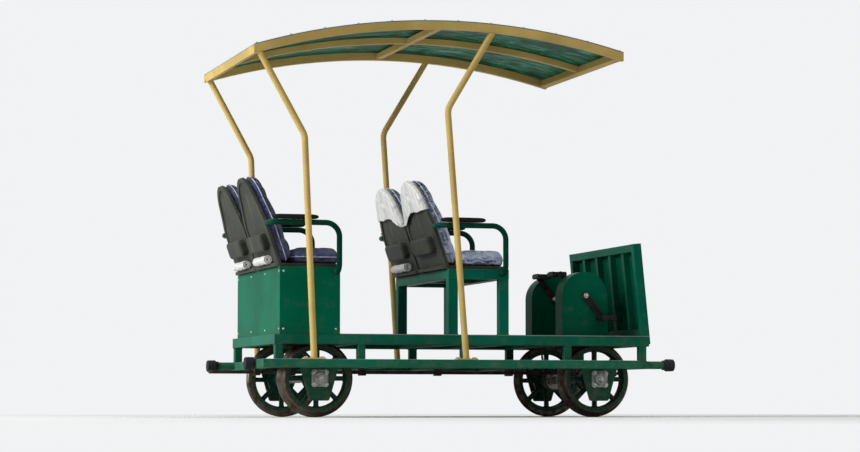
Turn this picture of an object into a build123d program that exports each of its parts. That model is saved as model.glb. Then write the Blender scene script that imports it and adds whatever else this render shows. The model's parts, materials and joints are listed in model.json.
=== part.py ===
from build123d import *
import math
import os

# Four-seat pedal rail car: an open steel platform on four flanged wheels, with two pedal units at
# the front, two rows of padded seats and an arched canopy on kinked posts.
# Millimetres. X points forward, Y to the left, Z up. The origin is on the floor under the middle
# of the whole length. Off the track the car stands on its wheel flanges.

# Track, wheels and axles
GAUGE = 760
GAUGE_PLAY = 5
TREAD_RADIUS = 175
FLANGE_HEIGHT = 20
TREAD_WIDTH = 50
FLANGE_WIDTH = 30
TREAD_CONE = 2
RIM_DEPTH = 27
RIM_FILLET = 6
WEB_THICKNESS = 14
HUB_RADIUS = 46
HUB_LENGTH = 76
SPOKE_COUNT = 8
SPOKE_WIDTH = 24
SPOKE_RIB = 10
RIB_HEIGHT = 34
WINDOW_INNER_RADIUS = 74
WINDOW_CORNER = 6
AXLE_RADIUS = 20
JOURNAL_RADIUS = 17.5
JOURNAL_PROUD = 4
RUNNING_FIT = 0.05
WHEELBASE = 1480
FRONT_OVERHANG = 260

# Platform: places along the car are distances back from the front end of the frame
FRAME_LENGTH = 1980
FRAME_WIDTH = 1000
LOWER_TUBE = 40
UPPER_TUBE = 50
LOWER_TUBE_TOP = 267
UPPER_TUBE_TOP = 393
TUBE_CORNER = 4
UPRIGHT = 40
UPRIGHT_PLACES = (34, 442, 992, 1533)
REAR_UPRIGHT_INSET = 24
CENTRE_STAY = 16
LOWER_CROSSBARS = (600, 992, 1400)
UPPER_CROSSBARS = (455, 785, 1055, 1560)
DECK_THICKNESS = 4

# Step boards along both sides
STEP_SETBACK = 110
STEP_REACH_REAR = 93
STEP_WIDTH = 170
STEP_TUBE = 40
STEP_OUTRIGGERS = (0.27, 0.5, 0.73)
PLANK_COUNT = 4
PLANK_GAP = 4
PLANK_THICKNESS = 22

# Buffers and drawbars
BUFFER_REACH = 145
BUFFER_TUBE_RADIUS = 20
BUFFER_HEAD_RADIUS = 31
BUFFER_HEAD_LENGTH = 45
BUFFER_INSET = 30
DRAWBAR_CLEARANCE = 7
DRAWBAR_REACH_REAR = 230
DRAWBAR_REACH_FRONT = 45
DRAWBAR_HEIGHT = 16
DRAWBAR_WIDTH = 40
DRAWBAR_EYE_RADIUS = 11
DRAWBAR_JOINT = 992
STIRRUP_WALL = 8
STIRRUP_LENGTH = 30

# Axle hangers and flange bearings
HANGER_THICKNESS = 12
HANGER_TOP_WIDTH = 190
HANGER_BOTTOM_WIDTH = 100
HANGER_BOTTOM = 112
HANGER_HOLE_RADIUS = 26
BEARING_PLATE = 84
BEARING_PLATE_THICKNESS = 12
BEARING_BOSS_RADIUS = 31
BEARING_LENGTH = 28

# Front panel, leaning back
PANEL_HEIGHT = 523
PANEL_TOP = 878
PANEL_SHEET = 3
PANEL_GAP = 0.5
PANEL_LEAN = 5.5
PANEL_POST = 40
PANEL_RIB = 30
PANEL_RIB_PLACES = (-0.3, -0.1, 0.1, 0.3)

# Pedal units
UNIT_SPREAD = 250
UNIT_PLACE = 280
UNIT_WIDTH = 110
UNIT_LENGTH = 250
UNIT_TOP = 735
UNIT_WALL = 4
CRANK_SHAFT_RADIUS = 10
CRANK_BOSS_RADIUS = 24
CRANK_ARM = 150
CRANK_ARM_THICKNESS = 12
CRANK_EYE_RADIUS = 14
CRANK_CLEARANCE = 6
CRANK_ANGLE = -52
SPINDLE_RADIUS = 6
PEDAL_LENGTH = 92
PEDAL_DEPTH = 78
PEDAL_THICKNESS = 24
PEDAL_SLOT = 12
PEDAL_BARREL = 26
PEDAL_END = 14
PEDAL_GAP = 6
CHAIN_WIDTH = 12
CHAIN_DEPTH = 10
CHAIN_CLEARANCE = 0.4
AXLE_SPROCKET_RADIUS = 48
CRANK_SPROCKET_RADIUS = 80
SPROCKET_THICKNESS = 8
CHAIN_SLOT_CLEARANCE = 8

# Seats: row places are the front edges of the cushions
SEAT_SPREAD = 250
CUSHION_WIDTH = 450
CUSHION_DEPTH = 243
CUSHION_THICKNESS = 77.7
BACK_RECLINE = 19
BACK_WIDTH = 455
BACK_TOP_WIDTH = 320
BACK_THICKNESS = 62
BACK_LENGTH = 400
BACK_FOOT = 58
SHELL_THICKNESS = 16
SHELL_MARGIN = 6
SHELL_RIM = 24
SHELL_RECESS = 6
SHELL_RECESS_FOOT = 30
HUMP_WIDTH = 320
HUMP_LENGTH = 88
HUMP_DEPTH = 32
HUMP_PLACE = 64
HUMP_CORNER = 24
HUMP_ROUND = 13
SOFT_GAP = 0.3
SEAT_BASE = 730
BACK_PLACE = 263
PAN_DEPTH = 335
MID_ROW = 772
REAR_ROW = 1640
STAND_TUBE = 50
STAND_LEAD = 12
STAND_DEPTH = 320

# Locker under the rear seats
LOCKER_SETBACK = 5
LOCKER_DEPTH = 309
LOCKER_WALL = 4
LOCKER_DIVIDER = 12
LOCKER_FIT = 0.5

# Arm loops
LOOP_TUBE_RADIUS = 14
ARM_HEIGHT = 161
LOOP_SETBACK = 28
LOOP_LENGTH = 270
LOOP_BULGE = 75
LOOP_CORNER = 70
LOOP_FOOT_CORNER = 45
LOOP_FOOT_DROP = 26
CENTRE_PAD_LENGTH = 190
SIDE_PAD_LENGTH = 235
SIDE_PAD_SETBACK = 135
PAD_THICKNESS = 26
PAD_WIDTH = 46

# Canopy and posts
CANOPY_FRONT = 180
CANOPY_LENGTH = 1938
CANOPY_SIDE_REACH = 130
CANOPY_CROWN = 1975
CANOPY_SAGITTA = 140
CANOPY_LEAD = 53
CANOPY_SHEET = 5
RIM_TUBE = 40
RIM_TUBE_WIDTH = 34
CANOPY_CROSS_TUBES = (0.5,)
POST_RADIUS = 16
POST_BEND = 90
POST_FOOT_INSET = 28
POST_FOOT_PLATE = (110, 52, 6)
# foot and kink: distance back and height; top: distance back, where the post meets the rim
POSTS = {
    "mid": {"foot": 1030, "kink": (1120, 1526), "top": 870},
    "rear": {"foot": 1812, "kink": (1858, 1373), "top": 2096},
}

# Levels and places worked out from the driving sizes
RAIL_TOP = FLANGE_HEIGHT
FLANGE_RADIUS = TREAD_RADIUS + FLANGE_HEIGHT
WHOLE_LENGTH = FRAME_LENGTH + BUFFER_REACH + DRAWBAR_REACH_REAR
FRONT_END = WHOLE_LENGTH / 2 - BUFFER_REACH
HALF_WIDTH = FRAME_WIDTH / 2
AXLE_LEVEL = RAIL_TOP + TREAD_RADIUS
WHEEL_BACK = GAUGE / 2 - GAUGE_PLAY - FLANGE_WIDTH
WHEEL_WIDTH = FLANGE_WIDTH + TREAD_WIDTH
CRANK_LEVEL = UNIT_TOP - UNIT_LENGTH / 2
HANGER_INNER = HALF_WIDTH - LOWER_TUBE - HANGER_THICKNESS
JOURNAL_END = HANGER_INNER + HANGER_THICKNESS + BEARING_LENGTH + JOURNAL_PROUD
DECK_TOP = UPPER_TUBE_TOP + DECK_THICKNESS
STEP_LENGTH = FRAME_LENGTH - STEP_SETBACK + STEP_REACH_REAR
BUFFER_SPREAD = HALF_WIDTH - BUFFER_INSET
POST_FOOT_SPREAD = HALF_WIDTH + STEP_WIDTH - POST_FOOT_INSET
CANOPY_WIDTH = FRAME_WIDTH + 2 * CANOPY_SIDE_REACH
DRAWBAR_LEVEL = TREAD_RADIUS + AXLE_RADIUS + DRAWBAR_CLEARANCE + DRAWBAR_HEIGHT / 2
CUSHION_TOP = SEAT_BASE + SHELL_THICKNESS + SOFT_GAP + CUSHION_THICKNESS
LOOP_TOP = CUSHION_TOP + ARM_HEIGHT
STAND_FRONT = MID_ROW - STAND_LEAD
STAND_REAR = STAND_FRONT + STAND_DEPTH
LOCKER_FRONT = REAR_ROW + LOCKER_SETBACK
LOCKER_REAR = LOCKER_FRONT + LOCKER_DEPTH


def back(distance):
    """X of a place that lies this far behind the front end of the frame."""
    return FRONT_END - distance


def up(height):
    """Z of a place that lies this high above the rail head."""
    return RAIL_TOP + height


def block(x, y, z):
    """Box between two values on each axis, each given as a pair in any order."""
    size = [abs(pair[1] - pair[0]) for pair in (x, y, z)]
    middle = [(pair[1] + pair[0]) / 2 for pair in (x, y, z)]
    return Pos(*middle) * Box(*size)


def bar(x, y, z):
    """Square or flat tube: a box whose long edges are rounded."""
    solid = block(x, y, z)
    spans = {Axis.X: abs(x[1] - x[0]), Axis.Y: abs(y[1] - y[0]), Axis.Z: abs(z[1] - z[0])}
    long_axis = max(spans, key=spans.get)
    return fillet(solid.edges().filter_by(long_axis), TUBE_CORNER)


def both_sides(solid):
    """The solid and its mirror image on the other side of the car."""
    return [solid, mirror(solid, Plane.XZ)]


def along_y(radius, y0, y1, x, z):
    """Round bar across the car."""
    return Pos(x, (y0 + y1) / 2, z) * Rot(90, 0, 0) * Cylinder(radius, abs(y1 - y0))


def along_x(radius, x0, x1, y, z):
    """Round bar along the car."""
    return Pos((x0 + x1) / 2, y, z) * Rot(0, 90, 0) * Cylinder(radius, abs(x1 - x0))


# Wheels and axles

def wheel(side, x):
    """Flanged wheel: a turned rim and hub, joined by a web with one window between each two spokes."""
    rim_inner = TREAD_RADIUS - RIM_DEPTH
    flange_round = FLANGE_WIDTH / 3
    outline = Polyline(
        (rim_inner, 0),
        (FLANGE_RADIUS - flange_round, 0),
        (FLANGE_RADIUS, flange_round),
        (FLANGE_RADIUS, FLANGE_WIDTH - flange_round),
        (TREAD_RADIUS + 3 * TREAD_CONE, FLANGE_WIDTH),
        (TREAD_RADIUS + TREAD_CONE, FLANGE_WIDTH + TREAD_CONE),
        (TREAD_RADIUS - TREAD_CONE, WHEEL_WIDTH - 2 * TREAD_CONE),
        (TREAD_RADIUS - 3 * TREAD_CONE, WHEEL_WIDTH),
        (rim_inner, WHEEL_WIDTH),
        close=True,
    )
    rim = revolve(Plane.XZ * make_face(outline), axis=Axis.Z)
    middle = WHEEL_WIDTH / 2
    web = Pos(0, 0, middle) * Cylinder(rim_inner + 1, WEB_THICKNESS)
    depth = 3 * WEB_THICKNESS
    window_ring = Cylinder(rim_inner - RIM_FILLET, depth) - Cylinder(WINDOW_INNER_RADIUS, depth)
    reach = rim_inner - HUB_RADIUS + 4
    spoke_middle = (rim_inner + HUB_RADIUS) / 2
    turns = [360 * k / SPOKE_COUNT for k in range(SPOKE_COUNT)]
    spokes = [Rot(0, 0, a) * Pos(spoke_middle, 0, 0) * Box(reach, SPOKE_WIDTH, 2 * depth) for a in turns]
    windows = window_ring - spokes
    windows = fillet(windows.edges().filter_by(Axis.Z), WINDOW_CORNER)
    ribs = [Rot(0, 0, a) * Pos(spoke_middle, 0, middle) * Box(reach, SPOKE_RIB, RIB_HEIGHT) for a in turns]
    hub = Pos(0, 0, middle) * Cylinder(HUB_RADIUS, HUB_LENGTH)
    hub = chamfer(hub.edges(), 3)
    body = rim + web - Pos(0, 0, middle) * windows + ribs + hub
    body -= Pos(0, 0, middle) * Cylinder(AXLE_RADIUS + RUNNING_FIT, 2 * HUB_LENGTH)
    outward = Pos(x, WHEEL_BACK, AXLE_LEVEL) * Rot(-90, 0, 0) * body
    if side == "left":
        return outward
    return mirror(outward, Plane.XZ)


def axle(x, sprockets):
    """Axle shaft with a thinner journal at each end; the driven one carries two sprockets."""
    journal_start = HANGER_INNER - HANGER_THICKNESS / 2
    shaft = along_y(AXLE_RADIUS, -journal_start, journal_start, x, AXLE_LEVEL)
    shaft += along_y(JOURNAL_RADIUS, -JOURNAL_END, JOURNAL_END, x, AXLE_LEVEL)
    if sprockets:
        for y in (-UNIT_SPREAD, UNIT_SPREAD):
            half = SPROCKET_THICKNESS / 2
            shaft += along_y(AXLE_SPROCKET_RADIUS, y - half, y + half, x, AXLE_LEVEL)
            shaft += along_y(AXLE_RADIUS + 12, y - 3 * half, y + 3 * half, x, AXLE_LEVEL)
    return shaft


def hanger(x):
    """Tapered plate that hangs from the side member and carries one flange bearing."""
    top = up(LOWER_TUBE_TOP)
    low = AXLE_LEVEL - HANGER_BOTTOM
    shoulder = AXLE_LEVEL + BEARING_PLATE / 2
    outline = Polyline(
        (x - HANGER_TOP_WIDTH / 2, top),
        (x - HANGER_TOP_WIDTH / 2, shoulder),
        (x - HANGER_BOTTOM_WIDTH / 2, low),
        (x + HANGER_BOTTOM_WIDTH / 2, low),
        (x + HANGER_TOP_WIDTH / 2, shoulder),
        (x + HANGER_TOP_WIDTH / 2, top),
        close=True,
    )
    plate = extrude(Plane.XZ * make_face(outline), -HANGER_THICKNESS)
    plate = fillet(plate.edges().filter_by(Axis.Y).sort_by(Axis.Z)[:4], 12)
    plate = Pos(0, HANGER_INNER, 0) * plate
    hole = along_y(HANGER_HOLE_RADIUS, HANGER_INNER - 5, HALF_WIDTH, x, AXLE_LEVEL)
    return plate - hole


def bearing(x):
    """Square flange bearing: four-bolt plate and round boss around the journal."""
    seat = HANGER_INNER + HANGER_THICKNESS
    half = BEARING_PLATE / 2
    plate_y = (seat, seat + BEARING_PLATE_THICKNESS)
    plate = block((x - half, x + half), plate_y, (AXLE_LEVEL - half, AXLE_LEVEL + half))
    plate = fillet(plate.edges().filter_by(Axis.Y), half / 2.5)
    boss = along_y(BEARING_BOSS_RADIUS, seat, seat + BEARING_LENGTH, x, AXLE_LEVEL)
    boss = chamfer(boss.edges().sort_by(Axis.Y)[-1], 4)
    bore = along_y(JOURNAL_RADIUS + RUNNING_FIT, seat - 5, seat + BEARING_LENGTH + 5, x, AXLE_LEVEL)
    return plate + boss - bore


# Platform frames, decks and steps

def lower_frame():
    """Ring of square tube at the height of the step boards, with crossbars between the wheels."""
    z = (up(LOWER_TUBE_TOP - LOWER_TUBE), up(LOWER_TUBE_TOP))
    inner = HALF_WIDTH - LOWER_TUBE
    frame = bar((back(0), back(FRAME_LENGTH)), (inner, HALF_WIDTH), z)
    frame += bar((back(0), back(FRAME_LENGTH)), (-inner, -HALF_WIDTH), z)
    for place in (LOWER_TUBE / 2, *LOWER_CROSSBARS, FRAME_LENGTH - LOWER_TUBE / 2):
        half = LOWER_TUBE / 2
        frame += bar((back(place - half), back(place + half)), (-inner - 2, inner + 2), z)
    return frame


def upper_frame():
    """Floor ring of square tube with crossbars, on short uprights and a thin stay at the front."""
    z = (up(UPPER_TUBE_TOP - UPPER_TUBE), up(UPPER_TUBE_TOP))
    inner = HALF_WIDTH - UPPER_TUBE
    frame = bar((back(0), back(FRAME_LENGTH)), (inner, HALF_WIDTH), z)
    frame += bar((back(0), back(FRAME_LENGTH)), (-inner, -HALF_WIDTH), z)
    half = UPPER_TUBE / 2
    for place in (half, *UPPER_CROSSBARS, FRAME_LENGTH - half):
        frame += bar((back(place - half), back(place + half)), (-inner - 2, inner + 2), z)
    gap = (up(LOWER_TUBE_TOP), up(UPPER_TUBE_TOP - UPPER_TUBE + 2))
    for place in (*UPRIGHT_PLACES, FRAME_LENGTH - REAR_UPRIGHT_INSET):
        x = (back(place - UPRIGHT / 2), back(place + UPRIGHT / 2))
        frame += bar(x, (HALF_WIDTH - UPRIGHT, HALF_WIDTH), gap)
        frame += bar(x, (UPRIGHT - HALF_WIDTH, -HALF_WIDTH), gap)
    stay = CENTRE_STAY / 2
    frame += block((back(LOWER_TUBE / 2 - stay), back(LOWER_TUBE / 2 + stay)), (-stay, stay), gap)
    return frame


def floor_deck():
    """Floor plate on the upper frame, with a slot for each drive chain."""
    z0 = up(UPPER_TUBE_TOP)
    rear = LOCKER_FRONT - 2
    plate = block((back(0), back(rear)), (-HALF_WIDTH, HALF_WIDTH), (z0, z0 + DECK_THICKNESS))
    for y in (-UNIT_SPREAD, UNIT_SPREAD):
        half_width = CHAIN_WIDTH / 2 + CHAIN_SLOT_CLEARANCE
        reach = AXLE_SPROCKET_RADIUS + CRANK_SPROCKET_RADIUS
        plate -= block((back(UNIT_PLACE) - reach, back(UNIT_PLACE) + reach), (y - half_width, y + half_width),
                       (z0 - 5, z0 + 20))
    return plate


def step_frame():
    """Outer rail, end rails and outriggers of the left step board."""
    z = (up(LOWER_TUBE_TOP - STEP_TUBE), up(LOWER_TUBE_TOP))
    front = STEP_SETBACK
    rear = STEP_SETBACK + STEP_LENGTH
    outer = HALF_WIDTH + STEP_WIDTH
    frame = bar((back(front), back(rear)), (outer - STEP_TUBE, outer), z)
    centres = [front + STEP_TUBE / 2] + [front + share * STEP_LENGTH for share in STEP_OUTRIGGERS]
    # the last outrigger stands at the rear end of the side member, and a closing rail behind it
    centres.append(FRAME_LENGTH - STEP_TUBE / 2)
    for place in centres:
        half = STEP_TUBE / 2
        low = (z[0], z[1] - PLANK_THICKNESS)
        frame += block((back(place - half), back(place + half)), (HALF_WIDTH, outer - 5), low)
    for place in (front, rear - STEP_TUBE / 4):
        x = (back(place), back(place + STEP_TUBE / 4))
        frame += block(x, (HALF_WIDTH, outer - 5), z)
    return frame


def step_board():
    """Left step board: grooved planks side by side on the outriggers."""
    front = STEP_SETBACK + STEP_TUBE / 4
    rear = STEP_SETBACK + STEP_LENGTH - STEP_TUBE / 4
    inner = HALF_WIDTH + 1
    outer = HALF_WIDTH + STEP_WIDTH - STEP_TUBE
    top = up(LOWER_TUBE_TOP)
    board = block((back(front), back(rear)), (inner, outer), (top - PLANK_THICKNESS, top))
    pitch = (outer - inner) / PLANK_COUNT
    for k in range(1, PLANK_COUNT):
        y = inner + k * pitch
        board -= block((back(front), back(rear)), (y - PLANK_GAP / 2, y + PLANK_GAP / 2), (top - 14, top + 1))
    return board


# Buffers and drawbars

def buffer_pair(x_end, direction):
    """Tubes and rubber heads of the two buffers at one end; direction is 1 forward, -1 backward."""
    z = up(LOWER_TUBE_TOP - LOWER_TUBE / 2)
    tip = x_end + direction * BUFFER_REACH
    neck = tip - direction * BUFFER_HEAD_LENGTH
    tubes = []
    heads = []
    for y in (-BUFFER_SPREAD, BUFFER_SPREAD):
        tubes.append(along_x(BUFFER_TUBE_RADIUS, x_end, neck, y, z))
        head = along_x(BUFFER_HEAD_RADIUS, neck, tip, y, z)
        face_edge = head.edges().filter_by(GeomType.CIRCLE).sort_by(Axis.X)[-1 if direction > 0 else 0]
        heads.append(fillet(face_edge, 7))
    return tubes, heads


def drawbar(x_end, direction, reach, crossbar):
    """Half of the through bar: an eye for the coupling pin at one end, run over the axle to the joint
    under the middle crossbar, and held by stirrups under the end crossbar and one inner crossbar."""
    z = up(DRAWBAR_LEVEL)
    low = z - DRAWBAR_HEIGHT / 2
    half = DRAWBAR_WIDTH / 2
    tip = x_end + direction * reach
    eye = tip - direction * half
    joint = back(DRAWBAR_JOINT)
    bar_half = block((joint, eye), (-half, half), (low, low + DRAWBAR_HEIGHT))
    bar_half += Pos(eye, 0, z) * Cylinder(half, DRAWBAR_HEIGHT)
    bar_half -= Pos(eye, 0, z) * Cylinder(DRAWBAR_EYE_RADIUS, 2 * DRAWBAR_HEIGHT)
    end_bar = x_end - direction * LOWER_TUBE / 2
    spans = [(middle - STIRRUP_LENGTH / 2, middle + STIRRUP_LENGTH / 2) for middle in (end_bar, back(crossbar))]
    spans.append((joint, joint + direction * STIRRUP_LENGTH / 2))
    side = half + STIRRUP_WALL
    for x in spans:
        bar_half += block(x, (-side, side), (low - STIRRUP_WALL, up(LOWER_TUBE_TOP - LOWER_TUBE)))
    return bar_half


# Front panel

def leaning(solid):
    """Turn a piece of the front panel back about the front edge of the deck."""
    pivot = Pos(back(0), 0, up(DECK_TOP))
    return pivot * Rot(0, -PANEL_LEAN, 0) * pivot.inverse() * solid


def front_panel():
    """Steel sheet across the front, from the floor tube to the top rail."""
    x = (back(0) + PANEL_GAP, back(0) + PANEL_GAP + PANEL_SHEET)
    z = (up(PANEL_TOP - PANEL_HEIGHT), up(PANEL_TOP))
    return leaning(block(x, (-HALF_WIDTH, HALF_WIDTH), z))


def front_panel_frame():
    """Corner posts, top rail and ribs behind the sheet."""
    x = (back(PANEL_POST), back(0) + PANEL_GAP)
    z = (up(DECK_TOP) - PANEL_RIB, up(PANEL_TOP))
    inner = HALF_WIDTH - PANEL_POST
    frame = bar(x, (inner, HALF_WIDTH), z) + bar(x, (-inner, -HALF_WIDTH), z)
    frame += bar(x, (-inner - 2, inner + 2), (z[1] - PANEL_POST, z[1]))
    low = (up(DECK_TOP), up(DECK_TOP) + 1.3 * PANEL_RIB)
    frame += bar((back(PANEL_RIB), back(0) + PANEL_GAP), (-inner - 2, inner + 2), low)
    for share in PANEL_RIB_PLACES:
        y = share * FRAME_WIDTH
        frame += block((back(PANEL_RIB), back(0) + PANEL_GAP), (y - PANEL_RIB / 2, y + PANEL_RIB / 2),
                       (low[0] + 2, z[1] - PANEL_POST + 2))
    below = block((back(200), back(-100)), (-FRAME_WIDTH, FRAME_WIDTH), (0, up(DECK_TOP)))
    return leaning(frame) - below


# Pedal units

def unit_outline(inset):
    """Side view of a pedal unit: straight sides under a half-round top."""
    radius = UNIT_LENGTH / 2 - inset
    foot = up(DECK_TOP)
    level = up(CRANK_LEVEL)
    middle = back(UNIT_PLACE)
    left = (middle - radius, foot)
    right = (middle + radius, foot)
    return make_face([
        Line(left, (middle - radius, level)),
        ThreePointArc((middle - radius, level), (middle, level + radius), (middle + radius, level)),
        Line((middle + radius, level), right),
        Line(right, left),
    ])


def drive_housing():
    """Sheet housing of the left pedal unit, open underneath, with a bearing boss on each side."""
    half = UNIT_WIDTH / 2
    outer = extrude(Plane.XZ * unit_outline(0), half, both=True)
    cavity = extrude(Plane.XZ * unit_outline(UNIT_WALL), half - UNIT_WALL, both=True)
    x = back(UNIT_PLACE)
    level = up(CRANK_LEVEL)
    boss_end = half + CRANK_CLEARANCE - 1
    body = outer - cavity + along_y(CRANK_BOSS_RADIUS, -boss_end, -half + UNIT_WALL + 8, x, level)
    body += along_y(CRANK_BOSS_RADIUS, boss_end, half - UNIT_WALL - 8, x, level)
    body -= along_y(CRANK_SHAFT_RADIUS + RUNNING_FIT, -UNIT_WIDTH, UNIT_WIDTH, x, level)
    return Pos(0, UNIT_SPREAD, 0) * body


def crank_tip(turn):
    """Place of a pedal spindle; turn is the crank's angle from straight forward, in degrees."""
    angle = math.radians(turn)
    return (back(UNIT_PLACE) + CRANK_ARM * math.cos(angle), up(CRANK_LEVEL) + CRANK_ARM * math.sin(angle))


def crank_face():
    """Inner face of the crank arm, measured from the middle of the pedal unit."""
    return UNIT_WIDTH / 2 + CRANK_CLEARANCE


def crank_arm(side, turn):
    """One tapered arm and its spindle; side is 1 towards the left of the car, -1 to the right."""
    x, z = crank_tip(turn)
    inner = crank_face()
    outer = inner + CRANK_ARM_THICKNESS
    hub = Circle(CRANK_SHAFT_RADIUS + 8)
    eye = Pos(CRANK_ARM, 0) * Circle(CRANK_EYE_RADIUS)
    outline = make_hull((hub.edges() + eye.edges()))
    arm = Pos(back(UNIT_PLACE), 0, up(CRANK_LEVEL)) * Rot(0, -turn, 0) * extrude(
        Plane.XZ * outline, -CRANK_ARM_THICKNESS)
    arm = Pos(0, inner, 0) * arm
    if side < 0:
        arm = mirror(arm, Plane.XZ)
    arm += along_y(SPINDLE_RADIUS, side * inner, side * (outer + PEDAL_GAP + PEDAL_LENGTH - 4), x, z)
    return arm


def crankset():
    """Left pedal unit's crank shaft, chain ring and two opposed arms."""
    inner = crank_face()
    x = back(UNIT_PLACE)
    level = up(CRANK_LEVEL)
    half = SPROCKET_THICKNESS / 2
    body = along_y(CRANK_SHAFT_RADIUS, -inner - 4, inner + 4, x, level)
    body += along_y(CRANK_SPROCKET_RADIUS, -half, half, x, level)
    body += crank_arm(1, CRANK_ANGLE)
    body += crank_arm(-1, CRANK_ANGLE + 180)
    return Pos(0, UNIT_SPREAD, 0) * body


def pedal(side, turn):
    """Pedal that turns on its spindle: a barrel and two tread blocks between end plates."""
    x, z = crank_tip(turn)
    start = crank_face() + CRANK_ARM_THICKNESS + PEDAL_GAP
    span = (side * start, side * (start + PEDAL_LENGTH))
    half = PEDAL_DEPTH / 2
    body = block((x - half, x + half), span, (z - PEDAL_THICKNESS / 2, z + PEDAL_THICKNESS / 2))
    body = fillet(body.edges().filter_by(Axis.Y), PEDAL_THICKNESS / 3)
    open_span = (side * (start + PEDAL_END), side * (start + PEDAL_LENGTH - PEDAL_END))
    for way in (-1, 1):
        slot = (x + way * PEDAL_BARREL / 2, x + way * (PEDAL_BARREL / 2 + PEDAL_SLOT))
        body -= block(slot, open_span, (z - PEDAL_THICKNESS, z + PEDAL_THICKNESS))
    body -= along_y(SPINDLE_RADIUS + RUNNING_FIT, side * (start - 5), side * (start + PEDAL_LENGTH + 5), x, z)
    return Pos(0, UNIT_SPREAD, 0) * body


def drive_chain():
    """Closed chain loop from the crank's ring down to the axle's sprocket."""
    top = (back(UNIT_PLACE), up(CRANK_LEVEL))
    low = (back(FRONT_OVERHANG), AXLE_LEVEL)

    def loop(growth):
        ring = Pos(*top) * Circle(CRANK_SPROCKET_RADIUS + growth)
        pinion = Pos(*low) * Circle(AXLE_SPROCKET_RADIUS + growth)
        return make_hull(ring.edges() + pinion.edges())

    half = CHAIN_WIDTH / 2
    band = extrude(Plane.XZ * (loop(CHAIN_CLEARANCE + CHAIN_DEPTH) - loop(CHAIN_CLEARANCE)), half, both=True)
    return Pos(0, UNIT_SPREAD, 0) * band


# Seats

def back_plane(row_front):
    """Plane of a seat back's front face: origin at the cushion's top, y up the slope, z forward."""
    x = back(row_front + BACK_PLACE)
    lean = math.radians(BACK_RECLINE)
    return Plane(origin=(x, 0, up(CUSHION_TOP)), x_dir=(0, 1, 0), z_dir=(math.cos(lean), 0, math.sin(lean)))


def back_outline(grow, foot):
    """Seat back seen from the front: straight foot, tapered sides and a rounded top."""
    half = BACK_WIDTH / 2 + grow
    top_half = BACK_TOP_WIDTH / 2 + grow
    top = BACK_LENGTH + grow
    shoulder = top * 0.72
    return make_face([
        Line((-half, foot), (half, foot)),
        Line((half, foot), (half, shoulder * 0.55)),
        Line((half, shoulder * 0.55), (top_half, shoulder)),
        ThreePointArc((top_half, shoulder), (0, top), (-top_half, shoulder)),
        Line((-top_half, shoulder), (-half, shoulder * 0.55)),
        Line((-half, shoulder * 0.55), (-half, foot)),
    ])


def seat_cushion(row_front, y):
    """Plain cushion block with rounded upright edges."""
    x = (back(row_front), back(row_front + CUSHION_DEPTH))
    z = (up(CUSHION_TOP - CUSHION_THICKNESS), up(CUSHION_TOP))
    half = CUSHION_WIDTH / 2
    solid = block(x, (y - half, y + half), z)
    return fillet(solid.edges().filter_by(Axis.Z), 30)


def seat_back(row_front, y):
    """Plain back cushion, leaning with the seat."""
    face = back_plane(row_front) * back_outline(0, -BACK_FOOT)
    return Pos(0, y, 0) * extrude(face, -BACK_THICKNESS)


def seat_shell(row_front, y):
    """Moulded shell: a pan under the cushion, and a plate behind the back cushion with a recessed rear and
    a rounded hump over the foot of the recess."""
    face = back_plane(row_front).offset(-BACK_THICKNESS - SOFT_GAP) * back_outline(SHELL_MARGIN, -2 * BACK_FOOT)
    plate = Pos(0, y, 0) * extrude(face, -SHELL_THICKNESS)
    rear_face = back_plane(row_front).offset(-BACK_THICKNESS - SOFT_GAP - SHELL_THICKNESS)
    recess = rear_face * back_outline(SHELL_MARGIN - SHELL_RIM, SHELL_RECESS_FOOT)
    plate -= Pos(0, y, 0) * extrude(recess, SHELL_RECESS)
    plate -= block((back(0), back(FRAME_LENGTH + 500)), (-HALF_WIDTH, HALF_WIDTH), (0, up(SEAT_BASE)))
    inside = back_plane(row_front).offset(-BACK_THICKNESS - SOFT_GAP - SHELL_RECESS)
    foot = inside * (Pos(0, HUMP_PLACE) * RectangleRounded(HUMP_WIDTH, HUMP_LENGTH, HUMP_CORNER))
    hump = extrude(foot, SHELL_RECESS - SHELL_THICKNESS - HUMP_DEPTH)
    hump = fillet(hump.faces().sort_by(Axis.X)[0].edges(), HUMP_ROUND)
    plate += Pos(0, y, 0) * hump
    half = CUSHION_WIDTH / 2 + SHELL_MARGIN
    pan = block((back(row_front + SHELL_MARGIN), back(row_front + PAN_DEPTH)), (y - half, y + half),
                (up(SEAT_BASE), up(SEAT_BASE) + SHELL_THICKNESS))
    pan = fillet(pan.edges().filter_by(Axis.Z), 24)
    return pan + plate


def mid_seat_stand():
    """Table-like stand of square tube under the middle row."""
    top = up(SEAT_BASE)
    foot = up(DECK_TOP)
    inner = HALF_WIDTH - STAND_TUBE
    stand = None
    for place in (STAND_FRONT, STAND_REAR - STAND_TUBE):
        x = (back(place), back(place + STAND_TUBE))
        for y in ((inner, HALF_WIDTH), (-HALF_WIDTH, -inner)):
            leg = bar(x, y, (foot, top - 2))
            stand = leg if stand is None else stand + leg
        stand += bar(x, (-HALF_WIDTH, HALF_WIDTH), (top - STAND_TUBE, top))
    for y in ((inner, HALF_WIDTH), (-HALF_WIDTH, -inner), (-STAND_TUBE / 2, STAND_TUBE / 2)):
        stand += bar((back(STAND_FRONT), back(STAND_REAR)), y, (top - STAND_TUBE, top))
    return stand


def locker():
    """Carcass of the locker under the rear seats: floor, sides, back and top of sheet."""
    floor = up(UPPER_TUBE_TOP)
    x = (back(LOCKER_FRONT), back(LOCKER_REAR))
    carcass = block(x, (-HALF_WIDTH, HALF_WIDTH), (floor, up(SEAT_BASE)))
    w = LOCKER_WALL
    hollow = block((back(LOCKER_FRONT) + 1, back(LOCKER_REAR) + w), (w - HALF_WIDTH, HALF_WIDTH - w),
                   (floor + w, up(SEAT_BASE) - w))
    return carcass - hollow


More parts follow.
